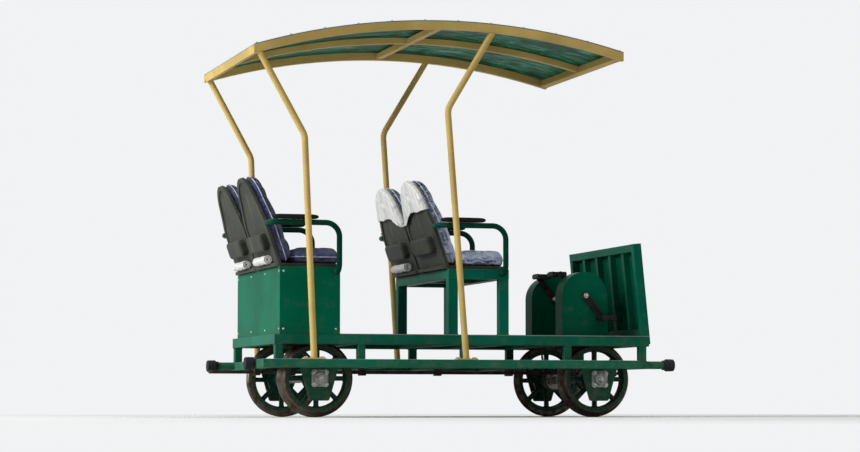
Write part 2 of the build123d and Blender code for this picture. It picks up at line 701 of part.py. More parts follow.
def locker_fronts():
    """Three front panels with a narrow strip between each two."""
    w = LOCKER_WALL
    width = FRAME_WIDTH - 2 * w - 2 * LOCKER_FIT
    field = (width - 2 * LOCKER_DIVIDER) / 3
    z = (up(UPPER_TUBE_TOP) + w + LOCKER_FIT, up(SEAT_BASE) - w - LOCKER_FIT)
    panels = []
    for k in range(3):
        y0 = -width / 2 + k * (field + LOCKER_DIVIDER)
        panels.append(block((back(LOCKER_FRONT + 2), back(LOCKER_FRONT + 2 + w)), (y0, y0 + field), z))
    return panels


# Arm loops

def bent_tube(points, radii):
    """Round tube along straight runs joined by arcs."""
    path = FilletPolyline(*points, radius=radii)
    section = Plane(origin=path @ 0, z_dir=path % 0) * Circle(LOOP_TUBE_RADIUS)
    return sweep(section, path=path)


def shell_edge(row_front, z):
    """X of the middle of a seat shell's side edge at this height."""
    lean = math.radians(BACK_RECLINE)
    depth = BACK_THICKNESS + SOFT_GAP + SHELL_THICKNESS / 2
    rise = z - up(CUSHION_TOP) + depth * math.sin(lean)
    return back(row_front + BACK_PLACE) - depth * math.cos(lean) - rise * math.tan(lean)


def side_loop(row_front):
    """Left arm rest tube: out from the shell's edge, forward beside the seat, down and in to its foot."""
    y = HALF_WIDTH + LOOP_BULGE
    shell_side = SEAT_SPREAD + BACK_WIDTH / 2 + SHELL_MARGIN
    top = up(LOOP_TOP) - PAD_THICKNESS - LOOP_TUBE_RADIUS
    foot = up(SEAT_BASE) - LOOP_FOOT_DROP
    front = back(row_front + LOOP_SETBACK)
    rear = shell_edge(row_front, top)
    upper = [(rear, shell_side, top), (rear, y, top), (front, y, top)]
    lower = [(front, y, foot), (front, HALF_WIDTH, foot)]
    return bent_tube(upper + lower, [LOOP_FOOT_CORNER, LOOP_CORNER, LOOP_FOOT_CORNER])


def centre_loop(row_front):
    """Grab loop between the two seats of a row, standing on the seat base."""
    top = up(LOOP_TOP) - PAD_THICKNESS - LOOP_TUBE_RADIUS
    front = back(row_front + LOOP_SETBACK)
    rear = front - LOOP_LENGTH
    foot = up(SEAT_BASE)
    points = [(front, 0, foot), (front, 0, top), (rear, 0, top), (rear, 0, foot)]
    return bent_tube(points, [LOOP_CORNER, LOOP_CORNER])


def arm_pad(front, length, y):
    """Pad on top of a loop, from a place behind the front of the frame."""
    top = up(LOOP_TOP)
    half = PAD_WIDTH / 2
    pad = block((back(front), back(front + length)), (y - half, y + half), (top - PAD_THICKNESS, top))
    return fillet(pad.edges().filter_by(Axis.X), 8)


# Canopy and posts

CANOPY_RADIUS = ((CANOPY_LENGTH / 2) ** 2 + CANOPY_SAGITTA ** 2) / (2 * CANOPY_SAGITTA)
CANOPY_MIDDLE = CANOPY_FRONT + CANOPY_LENGTH / 2 - CANOPY_LEAD
RIM_RADIUS = CANOPY_RADIUS - CANOPY_SHEET
RIM_SPREAD = (CANOPY_WIDTH - RIM_TUBE_WIDTH) / 2


def canopy_height(place, radius):
    """Height of an arc of this radius about the canopy's centre, at a distance back from the frame."""
    offset = place - CANOPY_MIDDLE
    return up(CANOPY_CROWN) - CANOPY_RADIUS + math.sqrt(radius ** 2 - offset ** 2)


def canopy_band(outer, inner, y, trim=0):
    """Curved band between two arcs about the canopy's centre, over a span of y."""
    front = CANOPY_FRONT + trim
    rear = CANOPY_FRONT + CANOPY_LENGTH - trim
    centre = Pos(back(CANOPY_MIDDLE), up(CANOPY_CROWN) - CANOPY_RADIUS)
    ring = centre * (Circle(outer) - Circle(inner))
    frame_height = 2 * CANOPY_SAGITTA + 200
    window = Pos(back((front + rear) / 2), up(CANOPY_CROWN)) * Rectangle(rear - front, frame_height)
    band = extrude(Plane.XZ * (ring & window), -(y[1] - y[0]))
    return Pos(0, y[0], 0) * band


def canopy_frame():
    """Two side arcs, a middle arc and straight cross tubes."""
    inner = RIM_RADIUS - RIM_TUBE
    half = RIM_TUBE_WIDTH / 2
    frame = canopy_band(RIM_RADIUS, inner, (RIM_SPREAD - half, RIM_SPREAD + half))
    frame += canopy_band(RIM_RADIUS, inner, (-RIM_SPREAD - half, -RIM_SPREAD + half))
    frame += canopy_band(RIM_RADIUS - 1, inner + 8, (-half, half), trim=6)
    ends = (CANOPY_FRONT + half, CANOPY_FRONT + CANOPY_LENGTH - half)
    inside = [CANOPY_FRONT + share * CANOPY_LENGTH for share in CANOPY_CROSS_TUBES]
    for place in (*ends, *inside):
        middle = canopy_height(place, RIM_RADIUS - RIM_TUBE / 2)
        slope = math.degrees(math.asin((place - CANOPY_MIDDLE) / CANOPY_RADIUS))
        depth = RIM_TUBE - 2 if place in ends else RIM_TUBE - 12
        cross = Box(RIM_TUBE_WIDTH, 2 * RIM_SPREAD, depth)
        frame += Pos(back(place), 0, middle) * Rot(0, -slope, 0) * cross
    return frame


def post(kind, rim):
    """Left post: from its foot plate up to the kink, then slanted to the rim, where it is cut off."""
    size = POSTS[kind]
    foot_z = up(LOWER_TUBE_TOP) + POST_FOOT_PLATE[2]
    kink_back, kink_height = size["kink"]
    top_z = canopy_height(size["top"], RIM_RADIUS - RIM_TUBE / 2)
    share = (up(kink_height) - foot_z) / (top_z - foot_z)
    kink_y = POST_FOOT_SPREAD + share * (RIM_SPREAD - POST_FOOT_SPREAD)
    path = FilletPolyline(
        (back(size["foot"]), POST_FOOT_SPREAD, foot_z - 3),
        (back(kink_back), kink_y, up(kink_height)),
        (back(size["top"]), RIM_SPREAD, top_z),
        radius=POST_BEND,
    )
    section = Plane(origin=path @ 0, z_dir=path % 0) * Circle(POST_RADIUS)
    tube = sweep(section, path=path)
    length, width, thickness = POST_FOOT_PLATE
    plate_middle = up(LOWER_TUBE_TOP) + thickness / 2
    plate = Pos(back(size["foot"]), POST_FOOT_SPREAD, plate_middle) * Box(length, width, thickness)
    below = block((-3000, 3000), (0, 1000), (0, up(LOWER_TUBE_TOP)))
    whole = tube - below + plate
    parts = (whole - rim).solids().sort_by(Axis.Z)
    return max(parts, key=lambda s: s.volume)


def make_parts():
    """Every piece of the car, by name."""
    parts = {}
    parts["lower_frame"] = lower_frame()
    parts["upper_frame"] = upper_frame()
    parts["floor_deck"] = floor_deck()
    for name, solid in (("step_frame", step_frame()), ("step_board", step_board())):
        parts["left_" + name], parts["right_" + name] = both_sides(solid)
    parts["front_panel"] = front_panel()
    parts["front_panel_frame"] = front_panel_frame()

    axles = {"front": FRONT_OVERHANG, "rear": FRONT_OVERHANG + WHEELBASE}
    hangers = []
    bearings = []
    for end, place in axles.items():
        parts[end + "_axle"] = axle(back(place), end == "front")
        for side in ("right", "left"):
            parts[end + "_" + side + "_wheel"] = wheel(side, back(place))
        hangers += both_sides(hanger(back(place)))
        bearings += both_sides(bearing(back(place)))
    parts["axle_hangers"] = hangers
    parts["axle_bearings"] = bearings

    front_tubes, front_heads = buffer_pair(back(0), 1)
    rear_tubes, rear_heads = buffer_pair(back(FRAME_LENGTH), -1)
    parts["buffer_tubes"] = front_tubes + rear_tubes
    parts["buffer_heads"] = front_heads + rear_heads
    parts["front_drawbar"] = drawbar(back(0), 1, DRAWBAR_REACH_FRONT, LOWER_CROSSBARS[0])
    parts["rear_drawbar"] = drawbar(back(FRAME_LENGTH), -1, DRAWBAR_REACH_REAR, LOWER_CROSSBARS[-1])

    unit = {
        "drive_housing": drive_housing(),
        "crankset": crankset(),
        "outer_pedal": pedal(1, CRANK_ANGLE),
        "inner_pedal": pedal(-1, CRANK_ANGLE + 180),
    }
    for name, solid in unit.items():
        parts["left_" + name], parts["right_" + name] = both_sides(solid)
    parts["drive_chains"] = both_sides(drive_chain())

    parts["mid_seat_stand"] = mid_seat_stand()
    parts["rear_locker"] = locker()
    parts["locker_fronts"] = locker_fronts()
    pads = []
    for row, front in (("mid", MID_ROW), ("rear", REAR_ROW)):
        for side, y in (("right", -SEAT_SPREAD), ("left", SEAT_SPREAD)):
            parts[row + "_" + side + "_cushion"] = seat_cushion(front, y)
            parts[row + "_" + side + "_back"] = seat_back(front, y)
        parts[row + "_seat_shells"] = [seat_shell(front, -SEAT_SPREAD), seat_shell(front, SEAT_SPREAD)]
        parts[row + "_arm_loops"] = both_sides(side_loop(front)) + [centre_loop(front)]
        pads += both_sides(arm_pad(front + SIDE_PAD_SETBACK, SIDE_PAD_LENGTH, HALF_WIDTH + LOOP_BULGE))
        pad_front = front + LOOP_SETBACK + (LOOP_LENGTH - CENTRE_PAD_LENGTH) / 2
        pads.append(arm_pad(pad_front, CENTRE_PAD_LENGTH, 0))
    parts["arm_pads"] = pads

    frame = canopy_frame()
    parts["canopy_frame"] = frame
    parts["canopy_sheet"] = canopy_band(CANOPY_RADIUS, RIM_RADIUS, (-CANOPY_WIDTH / 2, CANOPY_WIDTH / 2))
    for kind in POSTS:
        parts[kind + "_posts"] = both_sides(post(kind, frame))
    return parts


os.makedirs("parts", exist_ok=True)
for node, shape in make_parts().items():
    if isinstance(shape, list):
        solids = [solid for item in shape for solid in item.solids()]
        shape = Compound(children=solids)
    export_step(shape, "parts/" + node + ".step")
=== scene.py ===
import json
import math

import bpy
import numpy as np
from bpy.props import FloatProperty, FloatVectorProperty, IntProperty, PointerProperty
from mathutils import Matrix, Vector


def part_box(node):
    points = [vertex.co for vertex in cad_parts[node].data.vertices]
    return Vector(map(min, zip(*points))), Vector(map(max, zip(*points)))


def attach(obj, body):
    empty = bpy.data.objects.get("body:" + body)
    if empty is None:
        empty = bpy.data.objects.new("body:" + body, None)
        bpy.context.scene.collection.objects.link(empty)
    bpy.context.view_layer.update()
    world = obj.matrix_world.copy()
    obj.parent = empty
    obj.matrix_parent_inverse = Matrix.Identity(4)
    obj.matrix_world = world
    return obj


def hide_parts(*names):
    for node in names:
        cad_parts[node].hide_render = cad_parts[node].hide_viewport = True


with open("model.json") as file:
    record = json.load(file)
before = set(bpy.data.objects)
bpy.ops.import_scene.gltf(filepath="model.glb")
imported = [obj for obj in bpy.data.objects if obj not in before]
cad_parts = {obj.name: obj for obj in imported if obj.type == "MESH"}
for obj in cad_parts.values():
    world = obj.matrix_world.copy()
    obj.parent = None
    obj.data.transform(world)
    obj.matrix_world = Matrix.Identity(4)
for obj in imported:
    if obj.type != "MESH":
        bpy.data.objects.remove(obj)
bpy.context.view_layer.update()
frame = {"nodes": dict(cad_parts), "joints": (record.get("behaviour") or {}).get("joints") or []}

# Looks of a four-seat pedal rail car: enamel, boards and canopy on the fixed frame, stuffed seats,
# fasteners, weld beads, ribs, chain links and grips. Metres: X forward, Y to the left, Z up.

bl_info = {
    "name": "Pedal rail car looks",
    "version": (1, 0, 0),
    "blender": (4, 5, 0),
    "location": "3D Viewport > Sidebar > Rail car",
    "description": "Finishes and soft pieces of a pedal rail car on its fixed frame",
    "category": "Object",
}

MM = 0.001
BODY = "chassis"
CREASE = math.radians(35)
ZINC = ("zinc_fasteners", "fastener_zinc")


def place_of(joint):
    """Point on the axis of a joint of the frame."""
    return np.array(next(j["pos_m"] for j in frame["joints"] if j["name"] == joint), float)


def corners(node):
    """Lowest and highest corner of a node, as arrays."""
    low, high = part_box(node)
    return np.array(low), np.array(high)


FRONT_AXLE = place_of("front_axle_turn")
REAR_AXLE = place_of("rear_axle_turn")
CRANK = place_of("left_crank_turn")
FRAME_HIGH = corners("upper_frame")[1]
LOWER_LOW, LOWER_HIGH = corners("lower_frame")
DECK_LOW, DECK_HIGH = corners("floor_deck")
STEP_LOW, STEP_HIGH = corners("left_step_board")
LOCKER_LOW, LOCKER_HIGH = corners("rear_locker")
SHEET_LOW, SHEET_HIGH = corners("canopy_sheet")
FRONT_END = FRAME_HIGH[0]
HALF_WIDTH = FRAME_HIGH[1]
DECK_TOP = DECK_HIGH[2]
AXLES = (FRONT_AXLE, REAR_AXLE)
PAIR = np.array([-1, 1])

# Measures of the frame that its boxes don't tell: the hangers' inner face, the middles of the posts' feet
# along the car and from their outer edge, the seat stand's tubes, the wheels, and the four planks of a step
HANGER_FACE = corners("axle_hangers")[1][1] - 12 * MM
POST_FEET = {"mid_posts": FRONT_END - 1030 * MM, "rear_posts": FRONT_END - 1812 * MM}
POST_INSET = 26 * MM
STAND_TUBE = 50 * MM
TREAD_RADIUS = 167 * MM
HUB_RADIUS = 42 * MM
PLANK = (STEP_HIGH[1] - STEP_LOW[1]) / 4
PLANK_MIDDLES = STEP_LOW[1] + PLANK * (np.arange(4) + 0.5)

# The canopy is an arc about a line across the car, a little in front of the middle of the sheet
CANOPY_LEAD = 53 * MM
CANOPY_MIDDLE = float((SHEET_LOW[0] + SHEET_HIGH[0]) / 2 + CANOPY_LEAD)
CANOPY_RISE = 140 * MM
CANOPY_RADIUS = float((((SHEET_HIGH[0] - SHEET_LOW[0]) / 2) ** 2 + CANOPY_RISE ** 2) / (2 * CANOPY_RISE))
CANOPY_CENTRE = float(SHEET_HIGH[2] - CANOPY_RADIUS)

# Seat backs lean back about the rear top edge of the cushions
RECLINE = math.radians(19)
BACK_FOOT = 58 * MM
BACK_LENGTH = 400 * MM
BACK_THICKNESS = 62 * MM
BACK_WIDE = 227.5 * MM
BACK_NARROW = 160 * MM
BACK_TAPER = 158.4 * MM
BACK_SHOULDER = 288 * MM

SEATS = (("mid", "right"), ("mid", "left"), ("rear", "right"), ("rear", "left"))


def display(red, green, blue):
    """Scene colour of a display colour given from 0 to 255."""
    shares = [value / 255 for value in (red, green, blue)]
    return tuple(s / 12.92 if s <= 0.04045 else ((s + 0.055) / 1.055) ** 2.4 for s in shares)


def scaled(colour, share):
    """The colour made darker or brighter."""
    return tuple(min(1.0, value * share) for value in colour[:3])


def toned(colour, other, share):
    """Part of the way from one colour to another."""
    return tuple(a + (b - a) * share for a, b in zip(colour[:3], other[:3]))


# Settings that a user would change

def setting(kind, **fixed):
    """Function that makes one kind of setting from a name, a description and a default."""
    def made(name, description, default):
        return kind(name=name, description=description, default=default, **fixed)
    return made


number_setting = setting(FloatProperty)
count_setting = setting(IntProperty, min=2)
length_setting = setting(FloatProperty, min=0.0, unit="LENGTH")
share_setting = setting(FloatProperty, subtype="FACTOR", min=0.0, max=1.0)
place_setting = setting(FloatVectorProperty, subtype="XYZ", unit="LENGTH")
colour_setting = setting(FloatVectorProperty, subtype="COLOR", size=3, min=0.0, max=1.0)


class RAILCAR_PG_paint(bpy.types.PropertyGroup):
    """Colours of the finishes, and how worn they are"""

    frame_green: colour_setting("Frame green", "Enamel of the tubes", display(0, 99, 76))
    panel_green: colour_setting("Panel green", "Enamel of the sheets", display(0, 95, 69))
    ochre: colour_setting("Ochre", "Enamel of the posts and canopy tubes", display(196, 168, 100))
    # The canopy top's pale blue is partly its own coat and partly a painted reflection of the sky
    sky: colour_setting("Canopy top", "Upper face of the canopy sheet", display(152, 188, 220))
    # The underside's dark green is its own coat; its greens are partly painted reflections of green
    # surroundings
    leaf: colour_setting("Canopy underside", "Lower face of the canopy sheet", display(8, 78, 54))
    # The boards' pale blue is partly their own grey and partly a painted reflection of the sky
    board: colour_setting("Boards", "Grooved step planks and deck ribs", display(158, 178, 190))
    shell: colour_setting("Seat shells", "Moulded plastic behind the seats", display(58, 62, 54))
    centre: colour_setting("Seat centre", "Dark middle of cushions and backs", display(36, 42, 80))
    # The light bolster colour is partly the cloth's own and partly painted glare of the film
    bolster: colour_setting("Seat bolsters", "Sides of cushions and backs", display(134, 140, 170))
    rolled: colour_setting("Rolled sheeting", "White rolls behind the seats", display(226, 226, 222))
    dust: colour_setting("Dust", "Dry soil on upper faces", display(150, 134, 108))
    rust: colour_setting("Rust", "Bare iron where paint is gone", display(98, 58, 36))
    dustiness: share_setting("Dust amount", "How much dust lies on the car", 0.4)
    chipping: share_setting("Chipped edges", "How much paint is gone along the edges", 0.5)


class RAILCAR_PG_seats(bpy.types.PropertyGroup):
    """Sizes of the stuffed seats"""

    grid: length_setting("Grid", "Spacing of the points of a cushion", 8 * MM)
    seam: share_setting("Seam place", "Place of the bolster seams as a share of the half width", 0.62)
    head: share_setting("Head seam", "Height of the head seam as a share of the back", 0.8)
    nose: share_setting("Nose seam", "Depth of the front seam as a share of the cushion", 0.24)
    seam_depth: length_setting("Seam depth", "How deep the sewn channels lie", 6 * MM)
    seam_width: length_setting("Seam width", "How wide the sewn channels are", 5 * MM)
    piping: length_setting("Piping", "Radius of the piping", 3.0 * MM)
    pressure: number_setting("Pressure", "Filling pressure of the cloth", 4.0)
    cushion_cap: length_setting("Cushion swell", "Most that a point of a cushion moves", 7 * MM)
    back_cap: length_setting("Back swell", "Most that a point of a back moves", 6 * MM)
    frames: count_setting("Frames", "Frames of the simulation", 20)
    roll_length: length_setting("Roll length", "Length of a roll of sheeting", 262 * MM)
    roll_radius: length_setting("Roll radius", "Radius of a roll of sheeting", 22 * MM)


class RAILCAR_PG_fittings(bpy.types.PropertyGroup):
    """Sizes of the fasteners, ribs and beads"""

    bolt: length_setting("Bolt", "Width across the flats of the bearing bolts", 17 * MM)
    screw: length_setting("Screw", "Radius of the round screw heads", 6 * MM)
    rivet: length_setting("Rivet", "Radius of the rivets", 5 * MM)
    bead: length_setting("Weld bead", "Radius of the weld beads", 3.2 * MM)
    rib_pitch: length_setting("Rib pitch", "Spacing of the ribs on the deck", 20 * MM)
    rib_height: length_setting("Rib height", "Height of the ribs", 1.6 * MM)
    chain_pitch: length_setting("Chain pitch", "From pin to pin of the chain", 12.7 * MM)


class RAILCAR_PG_stage(bpy.types.PropertyGroup):
    """Floor, lamps and camera"""

    floor: colour_setting("Floor", "Pale floor", (0.80, 0.80, 0.79))
    backdrop: colour_setting("Backdrop", "Pale background", (0.88, 0.89, 0.90))
    ambient: number_setting("Ambient", "Light from all round", 0.20)
    key: number_setting("Key", "Light from behind, on a face turned to it", 1.0)
    top: number_setting("Top", "Light from above", 0.45)
    fill: number_setting("Fill", "Light from the near and the far side", 0.06)
    eye: place_setting("Eye", "Place of the camera", (-3.81, -13.1, 0.05))
    aim: place_setting("Aim", "Point that the camera looks at", (0.0, 0.0, 1.0))
    lens: number_setting("Lens", "Focal length in mm on a 36 mm sensor", 109.0)


# Shapes: arrays of points, and faces between them

class Form:
    """Points in metres, and arrays of faces, each array with one number of corners."""

    def __init__(self, points, faces):
        self.points = np.asarray(points, float).reshape(-1, 3)
        self.faces = [np.asarray(f, int) for f in faces if len(f)]

    def volume(self):
        """Signed volume: each face is cut into triangles about its first corner, and the triple products
        of their corners are added up."""
        total = 0.0
        for group in self.faces:
            corner = self.points[group]
            for k in range(1, group.shape[1] - 1):
                cross = np.cross(corner[:, k], corner[:, k + 1])
                total += float((corner[:, 0] * cross).sum()) / 6
        return total

    def outward(self):
        """The same form with its faces turned to point out."""
        if self.volume() < 0:
            self.faces = [group[:, ::-1] for group in self.faces]
        return self

    def moved(self, origin, axes=np.eye(3)):
        """The form laid along the columns of the axes and moved to the origin, its faces outward."""
        return Form(self.points @ axes.T + origin, self.faces).outward()

    def placed(self, places, axes):
        """One copy at each place, its own X, Y and Z laid along the three columns of that place's axes."""
        count, size = len(places), len(self.points)
        points = np.einsum("cij,vj->cvi", axes, self.points) + places[:, None]
        step = np.arange(count)[:, None, None] * size
        faces = [(group[None] + step).reshape(-1, group.shape[1]) for group in self.faces]
        return Form(points, faces)

    def mirrored(self):
        """The form and its mirror image on the other side of the car."""
        other = self.points * (1, -1, 1)
        return joined([self, Form(other, [group[:, ::-1] for group in self.faces])])


def joined(forms):
    """Several forms as one, their faces renumbered by the points before them."""
    starts = np.cumsum([0] + [len(f.points) for f in forms])
    faces = [group + start for f, start in zip(forms, starts) for group in f.faces]
    return Form(np.concatenate([f.points for f in forms]), faces)


def quads(index):
    """Four-cornered faces between the neighbours of a grid of point numbers."""
    return np.stack([index[:-1, :-1], index[1:, :-1], index[1:, 1:], index[:-1, 1:]], -1).reshape(-1, 4)


def unit(vectors):
    """Rows of vectors, each made one long."""
    return vectors / np.linalg.norm(vectors, axis=-1, keepdims=True)


def ring_grid(points, loop=False):
    """Rings of points joined into a tube. A loop joins its last ring to its first; else one flat face closes
    each end."""
    rings, sides = points.shape[:2]
    index = np.arange(rings * sides).reshape(rings, sides)
    around = np.concatenate([index, index[:, :1]], axis=1)
    if loop:
        return Form(points, [quads(np.concatenate([around, around[:1]]))]).outward()
    return Form(points, [quads(around), index[:1, ::-1], index[-1:]]).outward()


def round_steps(count, turn=0.0):
    """Even steps of angle round a circle, the first at the given turn."""
    return turn + 2 * math.pi * np.arange(count) / count


def polar(radius, angle):
    """Pairs across and up at a radius and an angle."""
    return np.stack([radius * np.cos(angle), radius * np.sin(angle)], -1)


def laid_flat(pairs):
    """Pairs as places in X and Y, at no height."""
    return np.insert(pairs, 2, 0.0, axis=-1)


def turned(profile, sides, turn=0.0):
    """Turned form about Z: each pair of radius and height is carried round a circle. Both ends are closed."""
    radius, height = np.asarray(profile, float).T[:, :, None, None]
    circle = laid_flat(polar(1.0, round_steps(sides, turn)))
    return ring_grid(radius * circle + height * np.array([0, 0, 1]))


def carried(path, section, up, loop=False, scale=1.0):
    """A section carried along a path, scaled from point to point: it stands square to the path's run, with
    its second number measured towards the given direction."""
    path = np.asarray(path, float)
    run = unit(np.roll(path, -1, 0) - np.roll(path, 1, 0) if loop else np.gradient(path, axis=0))
    side = unit(np.cross(run, np.broadcast_to(np.asarray(up, float), path.shape)))
    top = np.cross(side, run)
    section = np.reshape(scale, (-1, 1, 1)) * section
    return ring_grid(path[:, None] + section[..., :1] * side[:, None] + section[..., 1:] * top[:, None], loop)


def plate(outline, thickness):
    """Flat plate: an outline in X and Y, drawn up along Z by its thickness."""
    return ring_grid(np.stack([laid_flat(outline), laid_flat(outline) + (0, 0, thickness)]))


def facing(directions):
    """Axes for pieces that stand on a face: the third column is the given direction, and the first is level
    unless that direction is nearly upright."""
    up = unit(np.asarray(directions, float))
    guide = np.where(np.abs(up[:, 2:]) < 0.9, [[0.0, 0.0, 1.0]], [[1.0, 0.0, 0.0]])
    across = unit(np.cross(guide, up))
    return np.stack([across, np.cross(up, across), up], -1)


def studded(form, places, directions):
    """One copy of a small form at each place, standing along that place's direction."""
    places = np.asarray(places, float).reshape(-1, 3)
    directions = np.broadcast_to(np.asarray(directions, float), places.shape)
    return form.placed(places, facing(directions))


def hex_bolt(across, height):
    """Washer and six-sided head with a turned chamfer: two turned outlines, the second with six sides."""
    corner = across / math.sqrt(3)
    rim = 0.9 * across
    thin = 0.12 * across
    washer = turned([(rim, 0), (rim, 0.8 * thin), (0.92 * rim, thin)], 20)
    head = turned([(corner, 0.7 * thin), (corner, 0.82 * height), (0.8 * corner, height)], 6, 0.3)
    return joined([washer, head])


def dome_head(radius, height):
    """Round head: a low turned dome."""
    return turned(polar(1.0, np.radians([0, 25, 50, 72])) * (radius, height), 14)


def both(places):
    """The places and their mirror images across the car."""
    places = np.asarray(places, float).reshape(-1, 3)
    return np.concatenate([places, places * (1, -1, 1)])


def outboard(places):
    """Directions that point sideways, away from the middle of the car."""
    return np.sign(np.asarray(places)[:, 1:2]) * np.array([[0.0, 1.0, 0.0]])


def grid_of(*axes):
    """Every mix of the given values, as rows."""
    return np.stack(np.meshgrid(*axes, indexing="ij"), -1).reshape(-1, len(axes))


def millimetres(*rows):
    """Rows given in millimetres, as an array in metres."""
    return np.array(rows, float) * MM


# Putting a form into the scene

def mesh_of(name, form):
    """New mesh with the points and faces of a form."""
    mesh = bpy.data.meshes.new(name)
    mesh.from_pydata(form.points.tolist(), [], [f for group in form.faces for f in group.tolist()])
    return mesh


def put(name, data):
    """New object in the scene with this data."""
    made = bpy.data.objects.new(name, data)
    bpy.context.scene.collection.objects.link(made)
    return made


def piece_from(name, form, finish, slot, body=BODY, attributes=None):
    """Smooth mesh object of a form that rides on a body, with its finish. The slot is not used."""
    mesh = mesh_of(name, form)
    for key, values in (attributes or {}).items():
        layer = mesh.attributes.new(key, "FLOAT_VECTOR", "POINT")
        layer.data.foreach_set("vector", np.asarray(values, np.float32).ravel())
    mesh.shade_smooth()
    mesh.materials.append(finish_named(finish))
    piece = put(name, mesh)
    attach(piece, body)
    return piece


def hard_piece(*details):
    """Such a piece whose edges beyond the crease angle stay sharp."""
    piece = piece_from(*details)
    piece.data.set_sharp_from_angle(angle=CREASE)
    return piece


def finish_named(name):
    """A finish made before, or an error that stops the script."""
    found = bpy.data.materials.get(name)
    if found is None:
        raise RuntimeError("the finish " + name + " isn't made yet")
    return found


# Finishes: nodes written as expressions

def maths(operation, reflected=False):
    """Method that adds a Math node for a flow and what it meets; reflected, what it meets comes first."""
    def method(flow, *others):
        values = (*others, flow) if reflected else (flow, *others)
        return flow.nodes.node("ShaderNodeMath", {"operation": operation}, dict(enumerate(values)))
    return method


class Flow:
    """One socket among nodes: an expression on it adds the Math nodes that it says. Most and least are the
    larger and the smaller of two values, part is what is left past the last whole number, and bearing is the
    angle of this value over another."""

    def __init__(self, nodes, socket):
        self.nodes = nodes
        self.socket = socket

    __add__, __radd__ = maths("ADD"), maths("ADD", True)
    __sub__, __rsub__ = maths("SUBTRACT"), maths("SUBTRACT", True)
    __mul__, __rmul__ = maths("MULTIPLY"), maths("MULTIPLY", True)
    __truediv__, __pow__ = maths("DIVIDE"), maths("POWER")
    __abs__, sine, part = maths("ABSOLUTE"), maths("SINE"), maths("FRACT")
    most, least, bearing = maths("MAXIMUM"), maths("MINIMUM"), maths("ARCTAN2")

    def rise(self, low, high):
        """0 up to the first value, 1 from the second on, and an even curve between them."""
        return self.nodes.node("ShaderNodeMapRange", {"interpolation_type": "SMOOTHSTEP"},
                               {"Value": self, "From Min": low, "From Max": high})


class Nodes:
    """A node tree, and the nodes added to it."""

    def __init__(self, tree):
        self.tree = tree

    def node(self, kind, settings=None, inputs=None, output=0):
        """Add a node: its settings first, a ramp's stops among them, then its values and links."""
        made = self.tree.nodes.new(kind)
        for key, value in (settings or {}).items():
            if key == "stops":
                self.set_stops(made.color_ramp, value)
            else:
                setattr(made, key, value)
        for key, value in (inputs or {}).items():
            self.feed(made.inputs[key], value)
        return Flow(self, made.outputs[output])

    def feed(self, socket, value):
        """Link a flow to a socket, or write a number or colour on it."""
        if isinstance(value, Flow):
            self.tree.links.new(value.socket, socket)
        elif socket.type == "RGBA" and len(value) == 3:
            socket.default_value = (*value, 1.0)
        else:
            socket.default_value = value

    def set_stops(self, ramp, stops):
        """Stops of a colour ramp, as pairs of place and colour."""
        while len(ramp.elements) < len(stops):
            ramp.elements.new(1.0)
        for element, (place, colour) in zip(ramp.elements, stops):
            element.position = place
            element.color = (*colour[:3], 1.0)

    def mixed_out(self, output, share, first, second):
        """Lead two shaders, mixed by a share, to the output node of this name."""
        mixed = self.node("ShaderNodeMixShader", inputs={0: share, 1: first, 2: second})
        self.feed(self.tree.nodes[output].inputs["Surface"], mixed)

    def seen(self):
        """1 for rays to the eye, in gloss and through glass."""
        rays = ("Is Camera Ray", "Is Glossy Ray", "Is Transmission Ray")
        camera, glossy, through = [self.node("ShaderNodeLightPath", output=name) for name in rays]
        return (camera + glossy + through).least(1.0)


